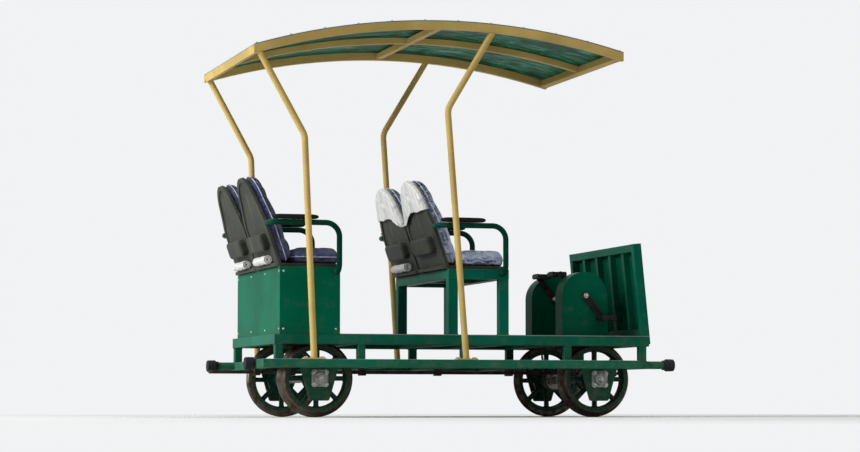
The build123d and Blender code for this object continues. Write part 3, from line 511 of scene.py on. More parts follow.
class Finish(Nodes):
    """A procedural finish: a material, its nodes, and what its shader is given."""

    def __init__(self, name, specular=0.5, constants=None):
        if name in bpy.data.materials:
            raise RuntimeError("the frame or an earlier finish is already named " + name)
        self.material = bpy.data.materials.new(name)
        self.material.use_nodes = True
        super().__init__(self.material.node_tree)
        self.shader = self.tree.nodes["Principled BSDF"]
        self.give({"Specular IOR Level": specular, **(constants or {})})

    def give(self, values):
        """Write values or links on the sockets of the surface shader."""
        for key, value in values.items():
            self.feed(self.shader.inputs[key], value)

    def cover(self, colour, rough, relief, depth, rounded=None, **more):
        """Give the shader its colour, its roughness, a relief on the surface and whatever more is named."""
        normal = self.bump(relief, depth, rounded)
        self.give({"Base Color": colour, "Roughness": rough, "Normal": normal, **more})

    def place(self):
        """The point's place on the car."""
        return self.node("ShaderNodeTexCoord", output="Object")

    def stored(self, name):
        """A vector kept on the points of a piece."""
        return self.node("ShaderNodeAttribute", {"attribute_name": name}, output="Vector")

    def axis(self, vector, letter):
        """One number of a vector."""
        return self.node("ShaderNodeSeparateXYZ", inputs={0: vector}, output=letter)

    def beside(self, where, x, z):
        """Lengths ahead of and above a line across the car at X and Z, and the distance from it."""
        ahead, above = self.axis(where, "X") - x, self.axis(where, "Z") - z
        return ahead, above, (ahead * ahead + above * above) ** 0.5

    def stretched(self, vector, scale, turn=0.0):
        """The place turned about Z and stretched, for patterns that run one way."""
        return self.node("ShaderNodeMapping", inputs={
            "Vector": vector, "Scale": scale, "Rotation": (0.0, 0.0, turn)})

    def noise(self, vector, scale, detail=3.0, rough=0.55, bent=0.0):
        """Cloudy noise about one half."""
        return self.node("ShaderNodeTexNoise", inputs={
            "Vector": vector, "Scale": scale, "Detail": detail, "Roughness": rough, "Distortion": bent})

    def cells(self, vector, scale):
        """Distance inside scattered cells."""
        return self.node("ShaderNodeTexVoronoi", inputs={"Vector": vector, "Scale": scale})

    def shades(self, share, colour, dark, bright):
        """A colour between a darker and a brighter one of itself."""
        return self.blend(share, scaled(colour, dark), scaled(colour, bright))

    def blend(self, share, first, second):
        """Two colours mixed by a share."""
        return self.node("ShaderNodeMix", {"data_type": "RGBA"}, {0: share, 6: first, 7: second}, output=2)

    def normal(self):
        """The face's own direction."""
        return self.node("ShaderNodeNewGeometry", output="Normal")

    def rounded(self, radius):
        """Direction of the surface as if its edges were rounded."""
        return self.node("ShaderNodeBevel", {"samples": 4}, {"Radius": radius})

    def edges(self, rounded):
        """1 along outer edges: where the rounded direction leaves the face's own."""
        along = self.node("ShaderNodeVectorMath", {"operation": "DOT_PRODUCT"},
                          {0: rounded, 1: self.normal()}, output="Value")
        return (1 - along).rise(0.01, 0.14)

    def bump(self, height, distance, normal=None):
        """Direction of the surface under a relief that stands this many metres out where the height is 1."""
        inputs = {"Height": height, "Distance": distance, "Strength": 1.0}
        if normal is not None:
            inputs["Normal"] = normal
        return self.node("ShaderNodeBump", inputs=inputs)


def coated(name, colour, worn_to, paint, rough=0.36, dusty=1.0, chipped=1.0, fixed=True,
           round_edge=2.5 * MM, specular=0.03, relief=1.0):
    """Sprayed enamel on metal. Tone is wide noise; chalky patches are finer noise; paint is gone where the
    rounded edge and a broken noise meet; dust lies on faces that look up and near the ground, on pieces that
    don't turn; orange peel and the steps at chips are bump."""
    finish = Finish(name, specular)
    where = finish.place()
    tone = finish.noise(where, 2.3, 5.0, 0.6).rise(0.32, 0.68)
    patch = finish.noise(where, 21.0, 5.0, 0.62)
    grain = finish.noise(where, 90.0, 4.0)
    rounded = finish.rounded(round_edge)
    edge = finish.edges(rounded)
    body = finish.shades(tone, colour, 0.80, 1.14)
    body = finish.blend(patch.rise(0.5, 0.8) * 0.3, body, toned(colour, (0.6, 0.6, 0.55), 0.12))
    chips = (edge * (0.35 + patch)).rise(0.52, 0.62) * (paint.chipping * 2 * chipped)
    specks = grain.rise(0.70, 0.73) * patch.rise(0.5, 0.62) * (paint.chipping * chipped)
    bare = chips.most(specks).least(1.0)
    metal = finish.shades(grain.rise(0.4, 0.6), worn_to, 1.0, 0.55)
    body = finish.blend(bare, body, metal)
    if fixed:
        looks_up = finish.axis(finish.normal(), "Z").rise(0.3, 0.95)
        low_down = 1 - finish.axis(where, "Z").rise(120 * MM, 550 * MM)
        settled = (looks_up * 0.75 + low_down * 0.4) * (0.2 + patch.rise(0.3, 0.75))
    else:
        settled = patch.rise(0.35, 0.8) * 0.5
    dust = (settled * (paint.dustiness * dusty)).least(0.85)
    body = finish.blend(dust, body, paint.dust)
    finish.cover(body, rough + patch * 0.12 + dust * 0.5 + bare * 0.3,
                 (patch * 0.06 + grain * 0.03) * relief - bare * 0.4, 0.5 * MM, rounded)


def enamel_finishes(paint):
    """Green, ochre and black enamels of the tubes and sheets."""
    primer = toned(paint.rust, (0.35, 0.33, 0.3), 0.35)
    coated("frame_enamel", paint.frame_green, primer, paint)
    coated("panel_enamel", paint.panel_green, primer, paint, dusty=0.6, chipped=0.6, specular=0.02)
    # Painted shade: the hangers take a darker copy of the frame green, for the shade under the car
    coated("hanger_enamel", scaled(paint.frame_green, 0.6), primer, paint, dusty=1.1)
    # Painted shade: the arm loops take a much darker copy of the frame green, for the shade they stand in
    coated("loop_enamel", scaled(paint.frame_green, 0.35), primer, paint, dusty=0.5)
    coated("post_enamel", paint.ochre, toned(paint.rust, (0.5, 0.5, 0.5), 0.4), paint, rough=0.4,
           dusty=0.25, chipped=0.7, round_edge=1.5 * MM, relief=0.25)
    coated("black_enamel", display(30, 30, 32), display(120, 116, 110), paint, rough=0.42, chipped=1.4)
    coated("crank_enamel", display(34, 34, 36), display(150, 148, 144), paint, rough=0.38, dusty=0.5,
           chipped=1.4, fixed=False)
    coated("locker_panel", display(26, 34, 36), display(96, 98, 96), paint, rough=0.34, dusty=0.5,
           chipped=0.5)


def canopy_finish(paint):
    """Two-sided sheet: the distance from the line that the canopy curves about tells its top from its
    underside. The top is pale blue, partly its own coat and partly a painted reflection of the sky, with
    faint dirt runs along the slope; the underside is glossy and dark, with bent streaks of two greens that
    are painted reflections of green surroundings."""
    finish = Finish("canopy_two_sided", 0.03)
    where = finish.place()
    _, _, radius = finish.beside(where, CANOPY_MIDDLE, CANOPY_CENTRE)
    top = radius.rise(CANOPY_RADIUS - 3 * MM, CANOPY_RADIUS - 2 * MM)
    cloud = finish.noise(where, 3.0, 4.0)
    runs = finish.noise(finish.stretched(where, (1.4, 26.0, 1.4)), 1.6, 5.0, 0.6, 0.4)
    # Top: pale blue, partly a painted reflection of the sky
    upper = finish.blend(cloud.rise(0.3, 0.7), scaled(paint.sky, 0.9), toned(paint.sky, (1, 1, 1), 0.16))
    upper = finish.blend(runs.rise(0.5, 0.8) * 0.3, upper, toned(paint.sky, paint.dust, 0.6))
    # Painted reflections on the underside: bent streaks from near black through green to pale teal
    streaks = finish.noise(finish.stretched(where, (2.2, 5.5, 2.2), 0.6), 2.4, 5.0, 0.66, 1.6)
    lower = finish.node("ShaderNodeValToRGB", {"stops": [
        (0.32, scaled(paint.leaf, 0.2)), (0.47, paint.leaf), (0.57, scaled(paint.leaf, 2.6)),
        (0.70, toned(scaled(paint.leaf, 2.6), paint.sky, 0.4))]}, {0: streaks})
    rough = 0.34 + cloud * 0.16 + (0.2 + runs.rise(0.5, 0.8) * 0.2) * top
    finish.cover(finish.blend(top, lower, upper), rough, streaks * (1 - top) + cloud * 0.4, 2.0 * MM)


def board_finish(name, colour, paint, top, dark):
    """Grooved boards: streaks run along the car, the ribs' tops are rubbed bright, dirt lies below them."""
    finish = Finish(name, 0.06)
    where = finish.place()
    streak = finish.noise(finish.stretched(where, (1.2, 34.0, 10.0)), 2.0, 5.0, 0.62, 0.3)
    blot = finish.noise(where, 9.0, 5.0, 0.6)
    grain = finish.noise(where, 160.0, 3.0)
    raised = finish.axis(where, "Z").rise(top - 0.3 * MM, top + 1.0 * MM)
    body = finish.shades(streak.rise(0.3, 0.7), colour, 0.62, 1.2)
    dirt = (blot.rise(0.4, 0.75) * 0.6 + (1 - raised) * 0.4) * dark
    body = finish.blend(dirt.least(0.9), body, toned(paint.dust, paint.rust, 0.35))
    finish.cover(body, 0.66 - raised * 0.14 + dirt * 0.2, streak * 0.5 + grain * 0.3, 0.6 * MM)


def wheel_finish(name, centre, paint):
    """Cast wheel: the distance from the axle tells tread, rim, web and hub apart. The tread is rubbed steel
    in brown rust, the rest is green enamel with soil thrown outwards in rays."""
    finish = Finish(name, 0.15)
    where = finish.place()
    ahead, above, radius = finish.beside(where, float(centre[0]), float(centre[2]))
    rays = finish.node("ShaderNodeCombineXYZ", inputs={0: above.bearing(ahead) * 5.0, 1: radius * 6.0})
    ray = finish.noise(rays, 2.2, 4.0, 0.6)
    patch = finish.noise(where, 26.0, 5.0, 0.62)
    grain = finish.noise(where, 120.0, 4.0)
    rounded = finish.rounded(2.5 * MM)
    edge = finish.edges(rounded)
    enamel = finish.shades(ray.rise(0.35, 0.7), paint.frame_green, 0.22, 0.55)
    outwards = radius.rise(100 * MM, 170 * MM)
    soil = ((outwards * 0.5 + ray.rise(0.45, 0.7) * 0.4) * paint.dustiness).least(0.8)
    enamel = finish.blend(soil, enamel, scaled(paint.dust, 0.3))
    chips = (edge * (0.3 + patch)).rise(0.5, 0.62) * 0.8
    enamel = finish.blend(chips, enamel, scaled(paint.rust, 0.8))
    tread = radius.rise(TREAD_RADIUS - 1 * MM, TREAD_RADIUS + 1 * MM)
    rubbed = finish.blend(patch.rise(0.35, 0.6), scaled(paint.rust, 0.4), display(96, 90, 84))
    shine = tread * patch.rise(0.42, 0.6)
    hub = 1 - radius.rise(HUB_RADIUS - 2 * MM, HUB_RADIUS + 2 * MM)
    body = finish.blend(tread, enamel, rubbed)
    body = finish.blend(hub * 0.7, body, display(104, 104, 100))
    finish.cover(body, 0.46 + soil * 0.3 - shine * 0.12, grain * 0.3 + patch * 0.4, 0.7 * MM, rounded,
                 Metallic=shine * 0.8 + hub * 0.4)


def metal_finish(name, colour, rust, rough, rusty, scale=40.0, shiny=0.9):
    """Bare or plated metal: clouded, with rust where two noises meet; rust takes the shine away."""
    finish = Finish(name)
    where = finish.place()
    cloud = finish.noise(where, scale, 5.0, 0.6)
    grain = finish.noise(where, 6 * scale, 3.0)
    rounded = finish.rounded(1.2 * MM)
    stain = (cloud.rise(0.5, 0.72) * (0.5 + grain) * rusty).least(1.0)
    tone = finish.shades(grain.rise(0.3, 0.7), colour, 0.75, 1.15)
    finish.cover(finish.blend(stain, tone, rust), rough + cloud * 0.15 + stain * 0.35,
                 grain * 0.3 + stain * 0.4, 0.25 * MM, rounded, Metallic=(1 - stain) * shiny)


def metal_finishes(paint):
    """Steel, cast iron, zinc and chain."""
    metal_finish("worn_axle", display(150, 148, 144), paint.rust, 0.36, 1.2)
    metal_finish("bearing_cast", display(152, 156, 154), scaled(paint.dust, 0.6), 0.5, 0.9, shiny=0.4)
    metal_finish("zinc_fasteners", display(176, 176, 170), paint.rust, 0.38, 0.5, scale=70.0)
    metal_finish("oiled_chain", display(74, 68, 62), display(40, 32, 26), 0.3, 0.8, scale=120.0)
    metal_finish("bright_trim", display(200, 202, 204), scaled(paint.dust, 0.8), 0.34, 0.4, scale=18.0)


def shell_finish(paint):
    """Moulded shell: pebbled plastic with pale streaks that run down its slope, and edges painted lighter as
    highlights.
    """
    finish = Finish("shell_plastic", 0.1)
    where = finish.place()
    streak = finish.noise(finish.stretched(where, (5.0, 16.0, 2.0)), 1.6, 4.0, 0.6)
    cloud = finish.noise(where, 8.0, 4.0)
    rounded = finish.rounded(3.0 * MM)
    edge = finish.edges(rounded)
    body = finish.shades(cloud.rise(0.3, 0.7), paint.shell, 0.65, 1.15)
    body = finish.blend(streak.rise(0.58, 0.74) * 0.4, body, toned(paint.shell, (0.5, 0.5, 0.44), 0.4))
    # Painted highlight: the edges are lightened
    body = finish.blend(edge * 0.5, body, toned(paint.shell, (0.6, 0.6, 0.56), 0.4))
    pebbles = finish.cells(where, 420.0)
    finish.cover(body, 0.5 + cloud * 0.2, pebbles * 0.5 + streak * 0.5, 0.35 * MM, rounded)


def rubber_finishes():
    """Buffer rubber, pedal plastic and arm pad foam: dark, scuffed pale where they are touched."""
    for name, colour, pale, cell, rough in (
            ("scuffed_rubber", (34, 36, 38), (92, 96, 98), 160.0, 0.6),
            ("scuffed_pedals", (28, 28, 30), (92, 86, 76), 300.0, 0.48),
            ("grip_foam", (24, 24, 26), (58, 58, 60), 700.0, 0.72)):
        finish = Finish(name, 0.15)
        where = finish.place()
        cloud = finish.noise(where, 24.0, 5.0, 0.62)
        pores = finish.cells(where, cell)
        rounded = finish.rounded(2.0 * MM)
        scuff = (finish.edges(rounded) * 0.5 + cloud.rise(0.5, 0.8) * 0.5).least(1.0)
        body = finish.blend(scuff * 0.6, display(*colour), display(*pale))
        finish.cover(body, rough + cloud * 0.2, pores * 0.5 + cloud * 0.5, 0.4 * MM, rounded)


def roll_finish(paint):
    """Rolled sheeting: white, with folds that run along the roll painted greyer as shade, and soft creases."""
    finish = Finish("rolled_sheeting", 0.35, {"Sheen Weight": 0.2})
    where = finish.place()
    fold = finish.noise(finish.stretched(where, (60.0, 3.0, 60.0)), 1.4, 4.0, 0.6, 0.8)
    cloud = finish.noise(where, 14.0, 4.0)
    # Painted shade: the folds are greyer
    body = finish.shades(fold.rise(0.35, 0.7), paint.rolled, 0.72, 1.0)
    body = finish.blend(cloud.rise(0.55, 0.8) * 0.35, body, paint.dust)
    finish.cover(body, 0.4 + cloud * 0.25, fold + cloud * 0.3, 1.2 * MM)


def hood_finish(paint):
    """Film hood: cloudy white sheet, softly greyer and clearer between the slanting wrinkles, with a low
    gloss.
    """
    finish = Finish("film_hood", 0.25)
    local = finish.stored("seat_place")
    wrinkle = finish.noise(finish.stretched(local, (22.0, 8.0, 10.0), -0.5), 1.3, 4.0, 0.62, 1.8)
    cloud = finish.noise(local, 12.0, 4.0)
    clear = (1 - wrinkle.rise(0.3, 0.64)) * (0.4 + cloud.rise(0.3, 0.7) * 0.6)
    body = finish.blend(clear * 0.6, paint.rolled, display(160, 166, 172))
    finish.cover(body, 0.26 + cloud * 0.2, wrinkle, 1.0 * MM, Alpha=1 - clear * 0.3)


def seat_finish(name, paint, film):
    """Seat cover. The stored panel place tells the centre from the bolsters, the head band and the underside;
    its third number runs from 0 to about 1 on a cushion and from 2 to about 3 on a back. The centre is dark,
    marbled, and quilted by two sets of slanting lines; the bolsters are lighter, on the wrapped seats partly
    as painted glare; a fine weave covers both; a pale arch runs below the head band. The lower sides of the
    cushions and the sides of the backs are painted darker as shade. The film adds painted glare in a pale sky
    blue along its wrinkles, in fine bright lines, on a rim round the backs and on the cushion tops, with low
    roughness and wrinkles that slant."""
    finish = Finish(name, 0.12 + 0.2 * film, {"Sheen Weight": 0.1 * (1 - film), "Sheen Roughness": 0.5})
    local = finish.stored("seat_place")
    panel = finish.stored("panel_place")
    across = abs(finish.axis(panel, "X"))
    along = finish.axis(panel, "Y")
    upper = finish.axis(panel, "Z")
    seam = bpy.context.scene.railcar_seats.seam
    level = bpy.context.scene.railcar_seats.head
    centre = 1 - across.rise(seam - 0.012, seam + 0.012)
    backs = upper.rise(1.4, 1.7)
    share = upper - backs * 2
    head = along.rise(level - 0.01, level + 0.01) * backs
    arch = (1 - abs(along - level).rise(0.017, 0.024)) * (1 - across.rise(0.78, 0.82)) * backs
    u = finish.axis(local, "X")
    s = finish.axis(local, "Y")
    pitch = 30 * MM
    slant_one = abs(((u + s) / pitch).part() - 0.5)
    slant_two = abs(((u - s + 4.0) / pitch).part() - 0.5)
    quilt = slant_one.most(slant_two).rise(0.40, 0.5)
    thread = 2 * math.pi / (2.4 * MM)
    weave = (u * thread).sine() * (s * thread).sine() * 0.5
    marble = finish.noise(finish.stretched(local, (7.0, 4.0, 4.0), 0.5), 4.0, 5.0, 0.65, 1.6)
    cloud = finish.noise(local, 9.0, 4.0)
    dark = finish.blend(marble.rise(0.36, 0.66), scaled(paint.centre, 0.55),
                        toned(paint.centre, (0.5, 0.52, 0.62), 0.2))
    dark = finish.blend(quilt * 0.5, dark, scaled(paint.centre, 0.3))
    # On the wrapped seats the bolsters keep their light colour, partly the cloth's and partly painted glare of
    # the film; on the bare seats they go most of the way to the dark centre
    side = toned(paint.bolster, paint.centre, 0.85 * (1 - film))
    light = finish.shades(cloud.rise(0.3, 0.7), side, 0.7, 1.15)
    # Painted shade on the lower sides of the cushions and the sides and rear of the backs: more dark mottling
    # there and less glare; the mottling elsewhere is the cloth's marbling
    shaded_flank = 1 - share.rise(0.62, 0.84)
    stain = marble.rise(0.45, 0.57) * (0.7 + shaded_flank * 0.25)
    light = finish.blend(stain, light, toned(paint.centre, side, 0.1))
    # Painted shade: the lower half of each cushion's sides goes towards the dark centre colour
    foot = (1 - share.rise(0.3, 0.6)) * (1 - backs)
    light = finish.blend(foot * 0.6, light, scaled(paint.centre, 0.8))
    face = finish.blend(centre, light, dark)
    face = finish.blend(head * centre * 0.85, face, display(52, 55, 62))
    under = finish.blend(cloud.rise(0.3, 0.7), display(22, 22, 24), display(44, 44, 48))
    body = finish.blend(share.rise(0.04, 0.10), under, face)
    wrinkle = finish.noise(finish.stretched(local, (26.0, 7.0, 10.0), -0.7), 1.3, 4.0, 0.62, 2.2)
    # Painted highlight: a bright rim along the outer edges and the top of the backs
    rim = abs(share - 0.48).rise(0.24, 0.38) * across.rise(0.8, 0.95).most(along.rise(0.94, 0.98)) * backs
    # Painted highlight: the upper part of each cushion
    sheen = share.rise(0.4, 0.8) * (1 - backs)
    swirl = finish.noise(finish.stretched(local, (9.0, 6.0, 8.0), -0.5), 1.7, 2.0, 0.5, 1.4)
    glare = 1 - abs(swirl - 0.5).rise(0.008, 0.05)
    # Painted glare of the film: highlights along the wrinkles, fine bright lines, the rim and the cushion tops
    film_glare = (wrinkle.rise(0.5, 0.62) * (0.4 + marble) * (1 - shaded_flank * 0.7) + glare * 0.9 + rim * 0.9
             + sheen * (0.35 + wrinkle.rise(0.4, 0.56) * 0.65)).least(1.0) * film
    film_glare = film_glare * share.rise(0.02, 0.2) * (0.85 - centre * 0.25) * (1 - head * centre * 0.7)
    # The glare is painted in a pale sky blue
    body = finish.blend(film_glare, body, display(200, 214, 240))
    body = finish.blend(arch * 0.9, body, display(214, 216, 222))
    relief = weave * 0.06 * (1 - film * 0.7) - quilt * centre * 0.5 + wrinkle * (0.3 + film * 1.6)
    finish.cover(body, 0.62 - 0.4 * film + cloud * 0.14, relief, 2.2 * MM)


def piping_finish(paint):
    """Piping: light cord, greyer where it was rubbed, with a fine grain."""
    finish = Finish("light_piping", 0.35)
    where = finish.place()
    cloud = finish.noise(where, 46.0, 4.0)
    pale = toned(paint.bolster, (1, 1, 1), 0.3)
    body = finish.blend(cloud.rise(0.35, 0.75), pale, scaled(paint.bolster, 0.7))
    finish.cover(body, 0.45 + cloud * 0.2, finish.noise(where, 700.0, 2.0), 0.3 * MM)


# Which finish each node of the frame takes
NODE_FINISHES = {
    "frame_enamel": ("lower_frame", "upper_frame", "left_step_frame", "right_step_frame",
                     "front_panel_frame", "buffer_tubes", "mid_seat_stand"),
    "loop_enamel": ("mid_arm_loops", "rear_arm_loops"),
    "panel_enamel": ("front_panel", "left_drive_housing", "right_drive_housing", "rear_locker"),
    "hanger_enamel": ("axle_hangers",),
    "post_enamel": ("canopy_frame", "mid_posts", "rear_posts"),
    "canopy_two_sided": ("canopy_sheet",),
    "deck_plate": ("floor_deck",),
    "ribbed_planks": ("left_step_board", "right_step_board"),
    "front_wheels": ("front_left_wheel", "front_right_wheel"),
    "rear_wheels": ("rear_left_wheel", "rear_right_wheel"),
    "worn_axle": ("front_axle", "rear_axle"),
    "bearing_cast": ("axle_bearings",),
    "black_enamel": ("front_drawbar", "rear_drawbar"),
    "crank_enamel": ("left_crankset", "right_crankset"),
    "oiled_chain": ("drive_chains",),
    "scuffed_pedals": ("left_outer_pedal", "left_inner_pedal", "right_outer_pedal", "right_inner_pedal"),
    "scuffed_rubber": ("buffer_heads",),
    "shell_plastic": ("mid_seat_shells", "rear_seat_shells"),
    "locker_panel": ("locker_fronts",),
}


class RAILCAR_OT_finishes(bpy.types.Operator):
    """Make every finish and put it on the nodes of the frame"""

    bl_idname = "railcar.finishes"
    bl_label = "Finishes"

    def execute(self, context):
        paint = context.scene.railcar_paint
        enamel_finishes(paint)
        canopy_finish(paint)
        # The planks' pale blue is partly a painted reflection of the sky
        board_finish("ribbed_planks", scaled(paint.board, 1.2), paint, float(STEP_HIGH[2]), 0.5)
        board_finish("deck_plate", scaled(paint.board, 0.85), paint, float(DECK_TOP), 0.8)
        wheel_finish("front_wheels", FRONT_AXLE, paint)
        wheel_finish("rear_wheels", REAR_AXLE, paint)
        metal_finishes(paint)
        shell_finish(paint)
        rubber_finishes()
        roll_finish(paint)
        hood_finish(paint)
        seat_finish("wrapped_seat", paint, 1.0)
        seat_finish("bare_seat", paint, 0.1)
        piping_finish(paint)
        for name, nodes in NODE_FINISHES.items():
            for node in nodes:
                target = frame["nodes"][node]
                target.data.materials.clear()
                target.data.materials.append(finish_named(name))
        return {"FINISHED"}


# Stuffed seats

def knotted(knots, step):
    """Rising values that pass through every knot, with even steps no longer than the given one."""
    runs = [np.linspace(a, b, max(1, math.ceil((b - a) / step)) + 1)[1:] for a, b in zip(knots, knots[1:])]
    return np.concatenate([[knots[0]], *runs])


def path_distance(points, path):
    """Distance of each point from a line of straight runs: the least of the distances to the runs."""
    start = path[:-1]
    run = path[1:] - start
    from_start = points[..., None, :] - start
    share = np.clip((from_start * run).sum(-1) / (run ** 2).sum(-1), 0, 1)
    return np.linalg.norm(from_start - share[..., None] * run, axis=-1).min(-1)


def round_over(distance, radius):
    """Quarter of a circle: 0 at the edge, 1 from the radius inwards."""
    share = np.clip(distance / radius, 0, 1)
    return np.sqrt(1 - (1 - share) ** 2)


def rim_of(flat):
    """Outer loop of a grid of flat points, closed."""
    return np.concatenate([flat[:, 0], flat[-1, 1:], flat[::-1, -1][1:], flat[0, ::-1][1:]])


def pillow(flat, upper, lower):
    """Two height fields over one flat grid, sewn together along its outer loop."""
    rows, columns = upper.shape
    top_index = np.arange(rows * columns).reshape(rows, columns)
    inner = np.zeros((rows, columns), bool)
    inner[1:-1, 1:-1] = True
    low_index = top_index.copy()
    low_index[inner] = rows * columns + np.arange(inner.sum())
    top = np.concatenate([flat, upper[..., None]], -1)
    low = np.concatenate([flat, lower[..., None]], -1)
    points = np.concatenate([top.reshape(-1, 3), low[inner]])
    return Form(points, [quads(top_index), quads(low_index)[:, ::-1]]).outward(), top_index, inner


def panel_grid(seats, half, depth, cross):
    """Shares across and along a panel, with points on both side seams and on its cross seam, and the keys of
    the points on those three seams."""
    across = knotted([-1, -seats.seam, seats.seam, 1], seats.grid / half)
    along = knotted([0, cross, 1], seats.grid / depth)
    first, second = np.flatnonzero(np.isclose(np.abs(across), seats.seam))
    row = np.flatnonzero(np.isclose(along, cross))[0]
    p, q = np.meshgrid(across, along, indexing="ij")
    return p, q, (first, second, (slice(first, second + 1), row))


def corner_cut(distance, radius):
    """How far a rounded corner draws a side in, at a distance from the side's end."""
    return radius - np.sqrt(radius ** 2 - np.clip(radius - distance, 0, radius) ** 2)


def panel_flat(p, q, half, along, waist):
    """Flat shape of a panel whose sides are drawn in between its corners by a sine of the share along."""
    drawn = waist * np.sin(math.pi * q) * np.abs(p) ** 3
    return np.stack([p * half - np.sign(p) * drawn, along], -1)


def crowned(seats, p, bolster):
    """Swelling that is 5 mm in the middle between the side seams and this much along both bolsters."""
    middle = np.clip(1 - (p / seats.seam) ** 2, 0, 1)
    return 5 * MM * middle + bolster * np.exp(-((np.abs(p) - (1 + seats.seam) / 2) / 0.13) ** 2)


def sewn_panel(seats, grid, flat, levels, crown, radii, mark, thickness):
    """Stuffed panel over a flat shape, its seams, its rim and the stored place of its points. Both sheets
    start from the rim's level and reach their own along quarter circles; the top adds a crown, and channels
    are cut along the seams: bell curves of the distance from them."""
    p, q, keys = grid
    rim, top, low = levels
    edge = path_distance(flat, rim_of(flat))
    channel = sum(np.exp(-(path_distance(flat, flat[key]) / seats.seam_width) ** 2) for key in keys)
    upper = rim + (top - rim + crown) * round_over(edge, radii[0])
    upper -= seats.seam_depth * channel * round_over(edge, 20 * MM)
    lower = rim + (low - rim) * round_over(edge, radii[1])
    form, top_index, inner = pillow(flat, upper, lower)
    sheets = [np.stack([p, q, mark + level / thickness], -1) for level in (upper, lower)]
    marks = np.concatenate([sheets[0].reshape(-1, 3), sheets[1][inner]])
    return form, [top_index[key] for key in keys], rim_of(top_index[..., None])[:-1, 0], marks


def cushion_form(seats, half, depth, thickness):
    """Seat cushion: X across, Y back from the nose, Z up from its seat. The flat shape is a rectangle with
    rounded corners; the top also swells along the middle of its depth."""
    grid = panel_grid(seats, half, depth, seats.nose)
    p, q, _ = grid
    y = depth * q
    cut = corner_cut(np.minimum(y, depth - y), 34 * MM)
    flat = panel_flat(p, q, half - cut, y, 5 * MM)
    crown = crowned(seats, p, 9 * MM) + 4 * MM * np.sin(math.pi * q) - 7 * MM
    levels = (0.45 * thickness, thickness, 0.0)
    return sewn_panel(seats, grid, flat, levels, crown, (38 * MM, 16 * MM), 0, thickness)


def back_flat(p, q, low=-BACK_FOOT, grow=0.0):
    """Half width and place up the slope of a seat back's outline, for a share across and a share up from a
    low line: straight sides, a taper and an arc on top, all grown outwards."""
    rise = BACK_LENGTH - BACK_SHOULDER
    arc = (BACK_NARROW ** 2 + rise ** 2) / (2 * rise)
    side = low + (BACK_SHOULDER - low) * q
    half = grow + np.interp(side, [BACK_TAPER, BACK_SHOULDER], [BACK_WIDE, BACK_NARROW])
    top = grow + BACK_LENGTH - arc + np.sqrt(arc ** 2 - (BACK_NARROW * p) ** 2)
    return half, low + (top - low) * q


def back_form(seats):
    """Seat back: X across, Y up its slope from the cushion's top, Z forward from its front face. The flat
    shape has straight sides, a taper and an arc on top; the front also swells in the head band."""
    tall = BACK_SHOULDER + BACK_FOOT
    grid = panel_grid(seats, BACK_WIDE, tall, seats.head)
    p, q, _ = grid
    half, s = back_flat(p, q)
    flat = panel_flat(p, q, half - corner_cut(tall * q, 26 * MM), s, 4 * MM)
    band = np.exp(-((q - (1 + seats.head) / 2) / 0.09) ** 2)
    crown = crowned(seats, p, 11 * MM) + 6 * MM * band - 8 * MM
    levels = (-0.5 * BACK_THICKNESS, 0.0, 1 * MM - BACK_THICKNESS)
    return sewn_panel(seats, grid, flat, levels, crown, (36 * MM, 18 * MM), 3, BACK_THICKNESS)


def stuffed(form, held, seats, cap):
    """Points of the form after cloth simulation: the held points stay, the rest swells by pressure without
    gravity, and no point moves further than the cap."""
    scene = bpy.context.scene
    mesh = mesh_of("stuffing", form)
    trial = put("stuffing", mesh)
    trial.vertex_groups.new(name="held").add(held.tolist(), 1.0, "REPLACE")
    cloth = trial.modifiers.new("Stuffing", "CLOTH")
    settings = cloth.settings
    settings.quality = 6
    settings.mass = 0.3
    settings.vertex_group_mass = "held"
    settings.use_pressure = True
    settings.uniform_pressure_force = seats.pressure
    settings.shrink_min = -0.03
    settings.effector_weights.gravity = 0.0
    cloth.collision_settings.use_self_collision = False
    cloth.point_cache.frame_start = 1
    cloth.point_cache.frame_end = seats.frames
    for number in range(1, seats.frames + 1):
        scene.frame_set(number)
    result = trial.evaluated_get(bpy.context.evaluated_depsgraph_get()).data
    moved = np.zeros(len(form.points) * 3)
    result.vertices.foreach_get("co", moved)
    move = moved.reshape(-1, 3) - form.points
    length = np.linalg.norm(move, axis=1, keepdims=True)
    if not np.isfinite(length).all() or length.max() < 1e-6:
        raise RuntimeError("the cloth simulation moved nothing or broke down")
    bpy.data.objects.remove(trial)
    bpy.data.meshes.remove(mesh)
    scene.frame_set(1)
    return form.points + move * np.minimum(1, cap / np.maximum(length, 1e-9))


def lower_points(form, rim):
    """Points that the stuffing doesn't move: the rim and the lower sheet, whose points come last."""
    return np.union1d(np.arange(form.faces[0].max() + 1, len(form.points)), rim)


def soft_piece(name, form, marks, axes, origin, finish, node):
    """One stuffed piece: a local form laid along the axes, smoothed once, standing for its plain solid."""
    piece = piece_from(name, form.moved(origin, axes), finish, "seat_cover",
                       attributes={"seat_place": form.points, "panel_place": marks})
    smooth = piece.modifiers.new("Smooth", "SUBSURF")
    smooth.levels = smooth.render_levels = 1
    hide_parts(node)
    return piece


def pipes(points, seams, rim, radius):
    """Piping along rows of a form's points: round cords a little above the seams, and one round the rim."""
    section = polar(radius, round_steps(8))
    lift = np.array([0, 0, 0.35 * radius])
    forms = [carried(points[line] + lift, section, (0, 0, 1)) for line in seams]
    return joined([*forms, carried(points[rim], section, (0, 0, 1), loop=True)])


def seat_axes(kind):
    """Axes of a cushion or a back on the car, as columns: across, along and out."""
    if kind == "cushion":
        return np.array([[0.0, -1.0, 0.0], [1.0, 0.0, 0.0], [0.0, 0.0, 1.0]])
    sine, cosine = math.sin(RECLINE), math.cos(RECLINE)
    return np.array([[0.0, -sine, cosine], [1.0, 0.0, 0.0], [0.0, cosine, sine]])


